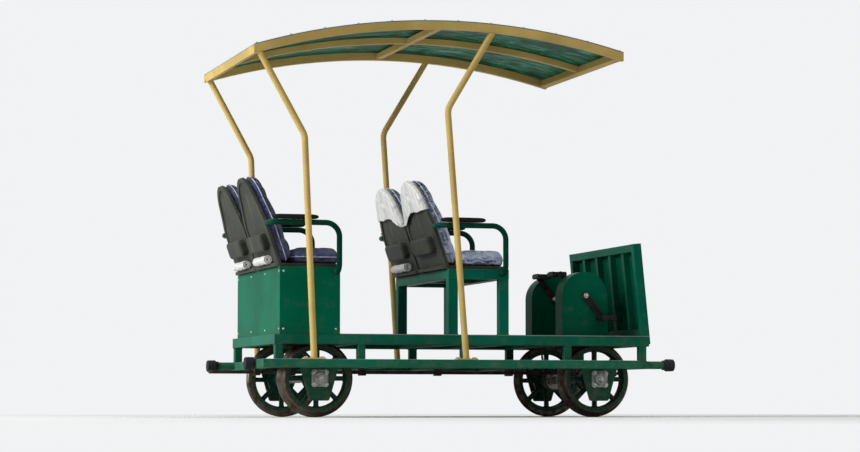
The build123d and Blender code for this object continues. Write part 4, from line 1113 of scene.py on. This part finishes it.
def seat_origin(kind, row, side):
    """Origin of a cushion's or a back's own axes on the car."""
    low, high = corners(row + "_" + side + "_cushion")
    if kind == "cushion":
        return np.array([high[0], (low[1] + high[1]) / 2, low[2]])
    back_high = corners(row + "_" + side + "_back")[1]
    return np.array([back_high[0] - BACK_FOOT * math.sin(RECLINE), (low[1] + high[1]) / 2, high[2]])


class RAILCAR_OT_seats(bpy.types.Operator):
    """Sew and stuff the four cushions and the four backs, with their piping"""

    bl_idname = "railcar.seats"
    bl_label = "Seats"

    def execute(self, context):
        seats = context.scene.railcar_seats
        low, high = corners("mid_right_cushion")
        half = (high[1] - low[1]) / 2 - 2 * MM
        shapes = {
            "cushion": (cushion_form(seats, half, high[0] - low[0] - 2 * MM, high[2] - low[2] - 3 * MM),
                        seats.cushion_cap),
            "back": (back_form(seats), seats.back_cap),
        }
        for kind, ((form, seams, rim, marks), cap) in shapes.items():
            held = np.union1d(lower_points(form, rim), np.concatenate(seams))
            form = Form(stuffed(form, held, seats, cap), form.faces)
            axes = seat_axes(kind)
            cords = pipes(form.points, seams, rim, seats.piping)
            for row, side in SEATS:
                origin = seat_origin(kind, row, side)
                node = row + "_" + side + "_" + kind
                finish = "wrapped_seat" if row == "mid" else "bare_seat"
                soft_piece(node + "_cover", form, marks, axes, origin, finish, node)
                piece_from(node + "_piping", cords.moved(origin, axes), "light_piping", "seat_cover")
        return {"FINISHED"}


class RAILCAR_OT_hoods(bpy.types.Operator):
    """Draw the film hoods over the tops of the middle seats"""

    bl_idname = "railcar.hoods"
    bl_label = "Film hoods"

    def execute(self, context):
        form, area, flat = hood_form()
        axes = seat_axes("back")
        for side in ("right", "left"):
            local = Form(form.points * (1 if side == "right" else -1, 1, 1), form.faces)
            laid = local.moved(seat_origin("back", "mid", side), axes)
            piece = piece_from("mid_" + side + "_hood", laid, "film_hood", "rolled_cover",
                               attributes={"seat_place": local.points})
        return {"FINISHED"}


def hood_form():
    """Film hood over the top of a seat back, its area and its flat size. The rear sheet lies just behind the
    shell; near the outline it turns forward along a quarter of a squarish curve and is drawn in behind the
    cushion's rim. The hem waves and hangs lower on one side; folds, sines of the place across, die out
    towards the top, and near the hem the film stands off a little."""
    p, q = np.meshgrid(np.sin(np.linspace(-math.pi / 2, math.pi / 2, 81)),
                       np.sin(np.linspace(0, math.pi / 2, 45)), indexing="ij")
    hang = np.clip((p - 0.1) / 0.9, 0, 1)
    low = 244 - 58 * hang ** 2 * (3 - 2 * hang) + 3 * np.sin(4 * p) - 1.2 * np.sin(11 * p)
    half, s = back_flat(p, q, low * MM, 11 * MM)
    flat = np.stack([p * half, s], -1)
    outline = np.concatenate([flat[0], flat[1:, -1], flat[-1, ::-1][1:]])
    inset = np.clip(path_distance(flat, outline) / (14 * MM), 0, 1)
    turn = (1 - (1 - inset) ** 4) ** 0.25
    loose = (1 - q) ** 1.5
    fold = 1.6 * np.sin(13 * p + 3 * q) + 0.8 * np.sin(27 * p - 5 * q + 1) + 0.5 * np.sin(17 * q + 4 * p)
    front, brim, rear = 50 * MM, 64 * MM, 84 * MM
    depth = front + (rear - front + (fold * (0.25 + 0.75 * loose) + 5 * loose) * MM) * turn
    drawn = np.clip((brim - depth) / (brim - front), 0, 1)
    drawn = 8 * MM * drawn ** 2 * (3 - 2 * drawn)
    inward = np.array([0.0, 0.2]) - flat
    flat = flat + drawn[..., None] * unit(inward)
    form, _, _ = pillow(flat, 0.8 * MM - depth, -depth)
    skin = np.concatenate([flat, -depth[..., None]], -1)
    across, up = np.diff(skin, axis=0), np.diff(skin, axis=1)
    area = np.linalg.norm(np.cross(across[:, :-1], up[:-1]), axis=-1).sum()
    width = np.linalg.norm(across, axis=-1).sum(axis=0).max()
    length = np.linalg.norm(up, axis=-1).sum(axis=1).max()
    return form, float(area), (float(width), float(length))


class RAILCAR_OT_arm_pads(bpy.types.Operator):
    """Mould the six foam grips on the arm loops"""

    bl_idname = "railcar.arm_pads"
    bl_label = "Arm pads"

    def execute(self, context):
        low, high = corners("arm_pads")
        reach = (high[1] + low[1]) / 2 + 575 * MM
        outer, inner = (121 * MM, 235 * MM), (54 * MM, 190 * MM)
        for row in ("mid", "rear"):
            loop_front = corners(row + "_arm_loops")[1][0]
            for side, (back, length), y in (("right", outer, -reach), ("left", outer, reach),
                                            ("centre", inner, 0.0)):
                origin = np.array([loop_front - back - length / 2, y, high[2] - 13 * MM])
                piece = piece_from(row + "_" + side + "_arm_grip", grip_form(length).moved(origin),
                                   "grip_foam", "arm_pad")
                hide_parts("arm_pads")
        return {"FINISHED"}


def grip_form(length):
    """Foam grip along X: a rounded section, wider than high and a little fuller in the middle, drawn in to
    each end by a power curve; a shallow moulded groove runs along both flanks."""
    t = np.linspace(-1, 1, 49)
    t = np.sign(t) * (1 - (1 - np.abs(t)) ** 1.6)
    size = np.clip(1 - np.abs(t) ** 9, 0.0, 1) ** 0.45
    size = np.maximum(size, 0.25) * (1 - 0.05 * t ** 2)
    angle = round_steps(28)
    groove = 1 - 0.07 * np.exp(-(np.sin(angle) / 0.16) ** 2)
    across = 23 * MM * np.sign(np.cos(angle)) * np.abs(np.cos(angle)) ** 0.8 * groove
    above = 12.6 * MM * np.sign(np.sin(angle)) * np.abs(np.sin(angle)) ** 0.75
    points = np.zeros((len(t), len(angle), 3))
    points[..., 0] = (t * length / 2)[:, None]
    points[..., 1] = size[:, None] * across
    points[..., 2] = size[:, None] * above
    return ring_grid(points)


class RAILCAR_OT_rolls(bpy.types.Operator):
    """Lay the white rolls of sheeting behind three of the seats"""

    bl_idname = "railcar.rolls"
    bl_label = "Rolls"

    def execute(self, context):
        seats = context.scene.railcar_seats
        rng = np.random.default_rng(7)
        for row, side in (("rear", "right"), ("rear", "left"), ("mid", "left")):
            low, high = corners(row + "_" + side + "_cushion")
            place = np.array([high[0] - 348 * MM, (low[1] + high[1]) / 2, low[2] + seats.roll_radius])
            form = roll_form(seats.roll_length, seats.roll_radius, rng.uniform(0, 6))
            piece = piece_from(row + "_" + side + "_roll", form.moved(place), "rolled_sheeting",
                               "rolled_cover")
        return {"FINISHED"}


def roll_form(length, radius, phase):
    """Roll along Y: a circle whose radius grows by one lap round the turn and waves softly along the roll;
    the ends step inwards in rings like the laps of the sheet."""
    t = np.linspace(-1, 1, 65)
    angle = round_steps(40)
    thick = 1.6 * MM
    lap = thick * (angle / (2 * math.pi))
    wave = 0.7 * MM * np.sin(3 * angle + 5 * t[:, None] + phase)
    wave = wave + 0.5 * MM * np.sin(7 * angle - 9 * t[:, None])
    size = radius - thick + lap + wave
    share = np.array([0.86, 0.80, 0.66, 0.60, 0.44, 0.38, 0.16])
    level = np.array([1.0, 0.985, 0.985, 1.0, 1.0, 0.985, 0.985])
    sizes = np.concatenate([share[::-1, None] * size[0], size, share[:, None] * size[-1]])
    y = np.concatenate([-level[::-1], t, level])[:, None] * length / 2
    return ring_grid(np.stack([sizes * np.cos(angle), y + 0 * sizes, sizes * np.sin(angle)], -1))


# Fasteners: every function takes the settings and makes the form of the piece that has its name

def bearing_bolts(fittings):
    """Four bolts on each bearing's plate, and their nuts inside the hanger."""
    outer = corners("axle_bearings")[1][1] - 16 * MM
    spread = 29 * MM * PAIR
    forms = []
    for axle in AXLES:
        x, z = axle[0] + spread, axle[2] + spread
        heads = both(grid_of(x, [outer], z))
        nuts = both(grid_of(x, [HANGER_FACE], z))
        forms.append(studded(hex_bolt(fittings.bolt, 0.62 * fittings.bolt), heads, outboard(heads)))
        forms.append(studded(hex_bolt(fittings.bolt, 0.7 * fittings.bolt), nuts, -outboard(nuts)))
    return joined(forms)


def hanger_bolts(fittings):
    """Four bolts through each hanger into the side member, seen from inside."""
    forms = []
    for axle in AXLES:
        x = axle[0] + millimetres(-74, -27, 27, 74)
        places = both(grid_of(x, [HANGER_FACE], [LOWER_HIGH[2] - 20 * MM]))
        forms.append(studded(hex_bolt(fittings.bolt, 0.6 * fittings.bolt), places, -outboard(places)))
    return joined(forms)


def panel_screws(fittings):
    """Eight screws round the front panel, square to its lean: three up each side and two in the middle."""
    low, high = corners("front_panel")
    lean = math.atan2(high[0] - low[0] - 3 * MM, high[2] - low[2])
    up = np.array([-math.sin(lean), 0, math.cos(lean)])
    out = np.array([math.cos(lean), 0, math.sin(lean)])
    foot = np.array([high[0], 0, low[2]])
    height = (high[2] - low[2]) / math.cos(lean)
    sides = both(foot + np.array([[0.03], [0.5], [0.97]]) * height * up + (0, HALF_WIDTH - 16 * MM, 0))
    middle = foot + np.array([[0.03], [0.97]]) * height * up
    places = np.concatenate([sides, middle])
    return studded(dome_head(fittings.screw, 3.2 * MM), places - 0.4 * MM * out, out)


def post_bolts(fittings):
    """Four bolts on each post's foot plate."""
    places = []
    for node, foot in POST_FEET.items():
        y = corners(node)[1][1] - POST_INSET + 16 * MM * PAIR
        places.append(grid_of(foot + 42 * MM * PAIR, y, [STEP_HIGH[2] + 6 * MM]))
    return studded(hex_bolt(11 * MM, 7 * MM), both(places), (0, 0, 1))


def canopy_place(along, y):
    """Points and outward directions on the canopy's arc, at places along the car."""
    angle = np.arcsin((np.asarray(along) - CANOPY_MIDDLE) / CANOPY_RADIUS)
    out = np.stack([np.sin(angle), 0 * angle, np.cos(angle)], -1)
    return np.array([CANOPY_MIDDLE, y, CANOPY_CENTRE]) + CANOPY_RADIUS * out, out


def canopy_screws(fittings):
    """Roofing screws with wide washers along both rims, the middle arc and both end tubes."""
    inset = 17 * MM
    ends = (SHEET_LOW[0] + inset, SHEET_HIGH[0] - inset)
    rim = SHEET_HIGH[1] - inset
    rows = [(np.linspace(*ends, 12), share) for share in (-1, 0, 1)]
    rows += [(ends, share) for share in (-0.67, -0.33, 0.33, 0.67)]
    head = hex_bolt(10 * MM, 6 * MM)
    return joined([studded(head, *canopy_place(along, rim * share)) for along, share in rows])


def locker_screws(fittings):
    """Screws at the corners of the locker's sides, and round its back."""
    z = (LOCKER_LOW[2] + 26 * MM, LOCKER_HIGH[2] - 24 * MM)
    x = (LOCKER_LOW[0] + 20 * MM, LOCKER_HIGH[0] - 20 * MM)
    sides = both(grid_of(x, [HALF_WIDTH], z))
    head = dome_head(fittings.screw, 2.6 * MM)
    rear = grid_of([LOCKER_LOW[0]], np.array([-1, -0.34, 0.34, 1]) * (HALF_WIDTH - 20 * MM), z)
    return joined([studded(head, sides, outboard(sides)), studded(head, rear, (-1, 0, 0))])


def housing_rivets(fittings):
    """Flush rivets round both faces of each drive housing, following its outline: up one side, over the arc
    and down the other. They stay low enough for the cranks to pass."""
    low, high = corners("left_drive_housing")
    middle = (low[0] + high[0]) / 2
    reach = (high[0] - low[0]) / 2 - 13 * MM
    half = 55 * MM
    angle = np.radians([8, 38, 68, 112, 142, 172])
    arc = (middle, CRANK[2]) + polar(reach, angle)
    sides = grid_of(middle + reach * PAIR, np.linspace(DECK_TOP + 22 * MM, CRANK[2] - 40 * MM, 3))
    flat = np.concatenate([arc, sides])
    forms = []
    for way in (1, -1):
        places = np.insert(flat, 1, CRANK[1] + half * way, axis=1)
        forms.append(studded(dome_head(fittings.rivet, 0.9 * MM), places, (0, way, 0)))
    return joined(forms).mirrored()


def plank_screws(fittings):
    """A flush screw in each plank over each outrigger."""
    x = STEP_HIGH[0] - millimetres(20, 520, 980, 1430, 1845)
    places = both(grid_of(x, PLANK_MIDDLES, [STEP_HIGH[2]]))
    return studded(dome_head(0.8 * fittings.screw, 1.8 * MM), places, (0, 0, 1))


class RAILCAR_OT_fasteners(bpy.types.Operator):
    """Put in the bolts, screws and rivets that hold the car together"""

    bl_idname = "railcar.fasteners"
    bl_label = "Fasteners"

    def execute(self, context):
        fittings = context.scene.railcar_fittings
        for make in (bearing_bolts, hanger_bolts, panel_screws, post_bolts, canopy_screws, plank_screws,
                     locker_screws):
            hard_piece(make.__name__, make(fittings), *ZINC)
        hard_piece("housing_rivets", housing_rivets(fittings), "panel_enamel", "panel_paint")
        return {"FINISHED"}


# Cranks, pedals and chains

class RAILCAR_OT_drive(bpy.types.Operator):
    """Fit the crank bolts, the pedal treads and the chain links"""

    bl_idname = "railcar.drive"
    bl_label = "Drive"

    def execute(self, context):
        fittings = context.scene.railcar_fittings
        for side, way in (("left", 1), ("right", -1)):
            outward = np.array([[0, 1, 0], [0, -1, 0]])
            ends = place_of(side + "_crank_turn") + 73 * MM * outward
            bolts = studded(hex_bolt(15 * MM, 8 * MM), ends, outward)
            hard_piece(side + "_crank_bolts", bolts, *ZINC, side + "_crankset")
            for which, away in (("outer", way), ("inner", -way)):
                node = side + "_" + which + "_pedal"
                tread = tread_form(node, away)
                hard_piece(node + "_tread", tread, "scuffed_pedals", "pedal_plastic", node)
        links = chain_form(fittings.chain_pitch)
        chain = hard_piece("chain_links", links.mirrored(), "oiled_chain", "chain_steel")
        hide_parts("drive_chains")
        return {"FINISHED"}


def tread_form(node, away):
    """Cleats and end cap of a pedal: short bars across its upper and lower faces, a dome on its outer end."""
    low, high = corners(node)
    middle = (low + high) / 2
    bar = millimetres((-2.6, 0), (-1.6, 1.8), (1.6, 1.8), (2.6, 0))
    forms = []
    for x in middle[0] + 33 * MM * PAIR:
        for y in np.linspace(low[1] + 13 * MM, high[1] - 13 * MM, 7):
            for face, way in ((high[2], 1), (low[2], -1)):
                ends = [(x - 4.5 * MM, y, face), (x + 4.5 * MM, y, face)]
                forms.append(carried(ends, bar, (0, 0, way)))
    outer = high[1] if away > 0 else low[1]
    forms.append(studded(dome_head(8 * MM, 3 * MM), [[middle[0], outer, middle[2]]], (0, away, 0)))
    return joined(forms)


def chain_form(pitch):
    """Left roller chain: pins stand at even steps along the closed line of two arcs and two tangents round
    the ring and the sprocket; between pins lie waisted plates, turn by turn inside and outside, in pairs;
    each pin carries a roller."""
    big, small = 85.4 * MM, 53.4 * MM
    ring, sprocket = CRANK[[0, 2]], FRONT_AXLE[[0, 2]]
    run = sprocket - ring
    heading = math.atan2(run[1], run[0])
    spread = math.acos((big - small) / np.linalg.norm(run))
    top = heading + np.linspace(spread, 2 * math.pi - spread, 240)
    low = heading + np.linspace(-spread, spread, 160)
    loop = np.concatenate([ring + polar(big, top), sprocket + polar(small, low), ring + polar(big, top[:1])])
    length = np.concatenate([[0], np.cumsum(np.linalg.norm(np.diff(loop, axis=0), axis=1))])
    count = 2 * round(length[-1] / pitch / 2)
    at = np.linspace(0, length[-1], count + 1)
    pins = np.column_stack([np.interp(at, length, loop[:, k]) for k in (0, 1)])
    chord = np.diff(pins, axis=0)
    centre = (pins[1:] + pins[:-1]) / 2
    half = np.linalg.norm(chord, axis=1).mean() / 2
    angle = round_steps(20)
    reach = half * np.sign(np.cos(angle)) * np.abs(np.cos(angle)) ** 0.5 + 4.2 * MM * np.cos(angle)
    thick = 1.2 * MM
    link = plate(np.column_stack([reach, (4.9 - 1.3 * np.sin(angle) ** 8) * MM * np.sin(angle)]), thick)
    along = unit(np.insert(chord, 1, 0.0, axis=1))
    out = np.broadcast_to([0.0, 1.0, 0.0], along.shape)
    axes = np.stack([along, np.cross(out, along), out], -1)
    y = CRANK[1]
    forms = []
    for offset, inside in ((4.6 * MM, 1), (6.0 * MM, 0)):
        for level in (y + offset, y - offset - thick):
            forms.append(link.placed(np.insert(centre, 1, level, axis=1)[inside::2], axes[inside::2]))
    roller = turned(millimetres((4.0, -4.5), (4.0, 4.5)), 10)
    pin = turned(millimetres((1.9, -8.2), (1.9, 8.2)), 8)
    forms.append(studded(joined([roller, pin]), np.insert(pins[:-1], 1, y, axis=1), (0, 1, 0)))
    return joined(forms)


# Ribs, beads and small trims

# How much the radius of a weld bead waves, as a share
RIPPLE = 0.16


def ridges(rear, front, y, level, width, height):
    """Low ribs with sloping flanks, which run along the car at each place across."""
    section = np.array([[-0.5, 0.0], [-0.3, 1.0], [0.3, 1.0], [0.5, 0.0]]) * (width, height)
    rib = carried([(rear, 0, 0), (front, 0, 0)], section, (0, 0, 1))
    places = np.column_stack([0 * y, y, 0 * y + level])
    return rib.placed(places, np.broadcast_to(np.eye(3), (len(y), 3, 3)))


class RAILCAR_OT_ribs(bpy.types.Operator):
    """Raise the ribs of the deck and of the step planks"""

    bl_idname = "railcar.ribs"
    bl_label = "Ribs"

    def execute(self, context):
        fittings = context.scene.railcar_fittings
        pitch = fittings.rib_pitch
        reach = HALF_WIDTH - 54 * MM
        y = np.arange(-reach, reach + pitch / 2, pitch)
        slot = corners("drive_chains")[1][1] - 6 * MM
        y = y[np.abs(np.abs(y) - slot) > 19 * MM]
        deck = ridges(DECK_LOW[0] + 6 * MM, DECK_HIGH[0] - 44 * MM, y, DECK_TOP, 0.34 * pitch,
                      fittings.rib_height)
        hard_piece("deck_ribs", deck, "deck_plate", "deck_metal")
        y = (PLANK_MIDDLES[:, None] + PLANK * np.linspace(-0.36, 0.36, 5)).ravel()
        planks = ridges(STEP_LOW[0] + 2 * MM, STEP_HIGH[0] - 2 * MM, y, STEP_HIGH[2], 3.2 * MM, 1.5 * MM)
        hard_piece("plank_ribs", planks.mirrored(), "ribbed_planks", "step_planks")
        return {"FINISHED"}


def bead(start, stop, radius):
    """Weld bead: a half-sunk round section along a line. A sine of the distance ripples its radius, which
    shrinks towards both ends."""
    start, stop = np.asarray(start, float), np.asarray(stop, float)
    length = np.linalg.norm(stop - start)
    steps = max(6, int(length / (2 * MM)))
    share = np.linspace(0, 1, steps)
    ripple = 1 + RIPPLE * np.sin(2 * math.pi * share * length / (5 * MM))
    taper = np.clip(np.minimum(share, 1 - share) * length / (4 * MM), 0.3, 1)
    path = start + share[:, None] * (stop - start)
    up = (0, 0, 1) if abs(stop[2] - start[2]) < 0.5 * length else (0, 1, 0)
    return carried(path, polar(radius, round_steps(7)), up, scale=ripple * taper)


def ring_bead(centre, ring, radius):
    """Weld bead round an upright tube: the same ripple on a circle."""
    angle = round_steps(60)
    path = np.asarray(centre) + laid_flat(polar(ring, angle))
    return carried(path, polar(radius, round_steps(7)), (0, 0, 1), True, 1 + RIPPLE * np.sin(20 * angle))


class RAILCAR_OT_beads(bpy.types.Operator):
    """Run the weld beads at the uprights, the stand, the hangers and the posts"""

    bl_idname = "railcar.beads"
    bl_label = "Weld beads"

    def execute(self, context):
        radius = context.scene.railcar_fittings.bead
        forms = []
        under_floor = FRAME_HIGH[2] - 50 * MM
        inner, outer = HALF_WIDTH - 38 * MM, HALF_WIDTH - 2 * MM
        for upright in FRONT_END - millimetres(34, 442, 992, 1533, 1956):
            for z in (LOWER_HIGH[2], under_floor):
                rear, front = upright + 19 * MM * PAIR
                forms.append(bead((rear, HALF_WIDTH, z), (front, HALF_WIDTH, z), 0.6 * radius))
            for x in upright + 20 * MM * PAIR:
                for z in (LOWER_HIGH[2], under_floor):
                    forms.append(bead((x, inner, z), (x, outer, z), radius))
        stand_low, stand_high = corners("mid_seat_stand")
        for rear in (stand_low[0], stand_high[0] - STAND_TUBE):
            front, inner = rear + STAND_TUBE, HALF_WIDTH - STAND_TUBE
            for x in (rear, front):
                forms.append(bead((x, inner + 2 * MM, DECK_TOP), (x, outer, DECK_TOP), radius))
            forms.append(bead((rear + 2 * MM, inner, DECK_TOP), (front - 2 * MM, inner, DECK_TOP), radius))
            for y in (inner, HALF_WIDTH):
                z = stand_high[2] - STAND_TUBE
                forms.append(bead((rear + 3 * MM, y, z), (front - 3 * MM, y, z), 0.7 * radius))
        for x, _, _ in AXLES:
            y, z = HALF_WIDTH - 40 * MM, LOWER_LOW[2]
            forms.append(bead((x - 92 * MM, y, z), (x + 92 * MM, y, z), radius))
        piece_from("weld_beads", joined(forms).mirrored(), "frame_enamel", "frame_paint")
        rings = []
        for node, x in POST_FEET.items():
            centre = (x, corners(node)[1][1] - POST_INSET, STEP_HIGH[2] + 6.5 * MM)
            rings.append(ring_bead(centre, 16.5 * MM, radius))
        piece_from("post_foot_beads", joined(rings).mirrored(), "post_enamel", "post_paint")
        return {"FINISHED"}


class RAILCAR_OT_trims(bpy.types.Operator):
    """Add the locker's strips, the buffers' collars and rings, the bearings' seals and the axles' end bolts"""

    bl_idname = "railcar.trims"
    bl_label = "Trims"

    def execute(self, context):
        strip = millimetres((-6, 0), (-5, 2.6), (0, 3.6), (5, 2.6), (6, 0))
        low, high = corners("locker_fronts")
        side = (high[1] - low[1] - 24 * MM) / 6 + 6 * MM
        strips = [carried([(high[0], y, low[2]), (high[0], y, high[2])], strip, (1, 0, 0))
                  for y in side * PAIR]
        hard_piece("locker_strips", joined(strips), "bright_trim", "fastener_zinc")

        low, high = corners("buffer_heads")
        spot = both([0, high[1] - 31 * MM, (low[2] + high[2]) / 2])
        collar = turned(millimetres((20.5, -16), (25, -16), (25, -3), (27.5, 0.4), (20.5, 0.4)), 32)
        rings = joined([turned(millimetres((30.8, z), (32.0, z + 1), (32.0, z + 5), (30.8, z + 6)), 40)
                        for z in (6, 20)])
        for name, part, finish, slot in (("buffer_collars", collar, "black_enamel", "black_metal"),
                                         ("buffer_rings", rings, "scuffed_rubber", "buffer_rubber")):
            forms = [studded(part, spot + (neck, 0, 0), (way, 0, 0))
                     for neck, way in ((high[0] - 45 * MM, 1), (low[0] + 45 * MM, -1))]
            hard_piece(name, joined(forms), finish, slot)

        end = corners("axle_bearings")[1][1]
        ring = turned(millimetres((30, -0.2), (30, 1.2), (27, 2.4), (19.5, 2.4), (19.5, -0.2)), 36)
        nipple = turned(millimetres((3.2, 0), (3.2, 4), (2.0, 5), (2.0, 7), (2.8, 8), (1.4, 10.5)), 10)
        forms = []
        for x, _, z in AXLES:
            spots = both([x, end, z])
            forms.append(studded(ring, spots, outboard(spots)))
            forms.append(studded(nipple, both([x, end - 8 * MM, z + 30 * MM]), (0, 0, 1)))
        hard_piece("bearing_seals", joined(forms), "bearing_cast", "bearing_metal")
        for name, (x, _, z) in zip(("front", "rear"), AXLES):
            spots = both([x, corners(name + "_axle")[1][1], z])
            bolts = studded(hex_bolt(14 * MM, 7 * MM), spots, outboard(spots))
            hard_piece(name + "_axle_bolts", bolts, *ZINC, name + "_wheelset")
        return {"FINISHED"}


# Stage

FLOOR_RADIUS = 60.0
SENSOR_WIDTH = 36.0


def lamp(name, place, height, level, size):
    """Square soft lamp turned to a height above the middle of the floor. Its power over the square of pi
    times its distance is its light on a facing surface as a share of a plain white sky's: the level."""
    data = bpy.data.lights.new(name, "AREA")
    away = Vector(place) - Vector((0.0, 0.0, height))
    data.energy = level * (math.pi * away.length) ** 2
    data.size = size
    made = put(name, data)
    made.location = place
    made.rotation_euler = away.to_track_quat("Z", "Y").to_euler()


def floor_form(radius):
    """Flat disc on the floor: rings of growing radius round one flat face in the middle."""
    sides = 48
    rings = np.linspace(0, 1, 9)[1:] ** 1.5 * radius
    points = rings[:, None, None] * laid_flat(polar(1.0, round_steps(sides)))
    index = np.arange(len(rings) * sides).reshape(-1, sides)
    index = np.concatenate([index, index[:, :1]], axis=1)
    return Form(points, [quads(index)[:, ::-1], np.arange(sides)[None]])


def floor_finish(stage):
    """Plain pale floor that goes over into the backdrop's colour with distance, to the eye and in gloss."""
    finish = Finish("plain_floor", 0.2, {"Base Color": stage.floor, "Roughness": 0.9})
    where = finish.place()
    x, y = finish.axis(where, "X"), finish.axis(where, "Y")
    far = (((x - 1.0) ** 2 + y * y) ** 0.5).rise(2.4, 6.8) * finish.seen()
    plain = finish.node("ShaderNodeEmission", inputs={"Color": stage.backdrop, "Strength": 1.0})
    finish.mixed_out("Material Output", far, Flow(finish, finish.shader.outputs[0]), plain)
    return finish.material


class RAILCAR_OT_stage(bpy.types.Operator):
    """Lay the pale floor, hang the soft lamps, colour the background and set up the camera"""

    bl_idname = "railcar.stage"
    bl_label = "Stage"

    def execute(self, context):
        stage = context.scene.railcar_stage
        floor = put("floor", mesh_of("floor", floor_form(FLOOR_RADIUS)))
        floor.data.materials.append(floor_finish(stage))

        lamp("key_lamp", (-13.0, -1.6, 5.8), 0.9, stage.key, 6.0)
        lamp("top_lamp", (0.0, 0.0, 14.0), 1.0, stage.top, 9.0)
        lamp("fill_lamp", (4.0, -14.0, 4.5), 0.8, stage.fill, 8.0)
        lamp("rim_lamp", (5.0, 13.0, 7.0), 1.0, stage.fill, 8.0)
        self.colour_world(context.scene, stage)

        data = bpy.data.cameras.new("camera")
        data.lens = stage.lens
        data.sensor_width = SENSOR_WIDTH
        data.clip_end = 200.0
        camera = put("camera", data)
        camera.location = stage.eye
        toward = Vector(stage.aim) - Vector(stage.eye)
        camera.rotation_euler = toward.to_track_quat("-Z", "Y").to_euler()
        context.scene.camera = camera
        context.scene.view_settings.view_transform = "Standard"
        return {"FINISHED"}

    def colour_world(self, scene, stage):
        """Background: its own colour to the eye, in gloss and through glass; even light for the rest."""
        world = bpy.data.worlds.new("plain_air")
        world.use_nodes = True
        scene.world = world
        air = Nodes(world.node_tree)
        plain = air.node("ShaderNodeBackground", inputs={"Color": stage.backdrop, "Strength": 1.0})
        light = air.node("ShaderNodeBackground", inputs={"Color": (1.0, 1.0, 1.0), "Strength": stage.ambient})
        air.mixed_out("World Output", air.seen(), light, plain)


# Panel and registration

STEPS = (
    RAILCAR_OT_stage, RAILCAR_OT_finishes, RAILCAR_OT_seats, RAILCAR_OT_hoods, RAILCAR_OT_arm_pads,
    RAILCAR_OT_rolls, RAILCAR_OT_fasteners, RAILCAR_OT_drive, RAILCAR_OT_ribs, RAILCAR_OT_beads,
    RAILCAR_OT_trims,
)

SETTINGS = {
    "railcar_stage": RAILCAR_PG_stage,
    "railcar_paint": RAILCAR_PG_paint,
    "railcar_seats": RAILCAR_PG_seats,
    "railcar_fittings": RAILCAR_PG_fittings,
}


class RAILCAR_PT_looks(bpy.types.Panel):
    """Settings and steps of the rail car's looks"""

    bl_label = "Rail car"
    bl_idname = "RAILCAR_PT_looks"
    bl_space_type = "VIEW_3D"
    bl_region_type = "UI"
    bl_category = "Rail car"

    def draw(self, context):
        for name, group in SETTINGS.items():
            box = self.layout.box()
            box.label(text=group.__doc__)
            for key in group.__annotations__:
                box.prop(getattr(context.scene, name), key)
        for step in STEPS:
            self.layout.operator(step.bl_idname)


CLASSES = (*SETTINGS.values(), *STEPS, RAILCAR_PT_looks)


def register():
    """Register the classes and hang the settings on the scene."""
    for cls in CLASSES:
        bpy.utils.register_class(cls)
    for name, group in SETTINGS.items():
        setattr(bpy.types.Scene, name, PointerProperty(type=group))


def unregister():
    """Take the settings and the classes away again."""
    for name in SETTINGS:
        delattr(bpy.types.Scene, name)
    for cls in reversed(CLASSES):
        bpy.utils.unregister_class(cls)


def main():
    """Register and run every step in order."""
    register()
    for step in STEPS:
        group, name = step.bl_idname.split(".")
        getattr(getattr(bpy.ops, group), name)()


if __name__ == "__main__":
    main()
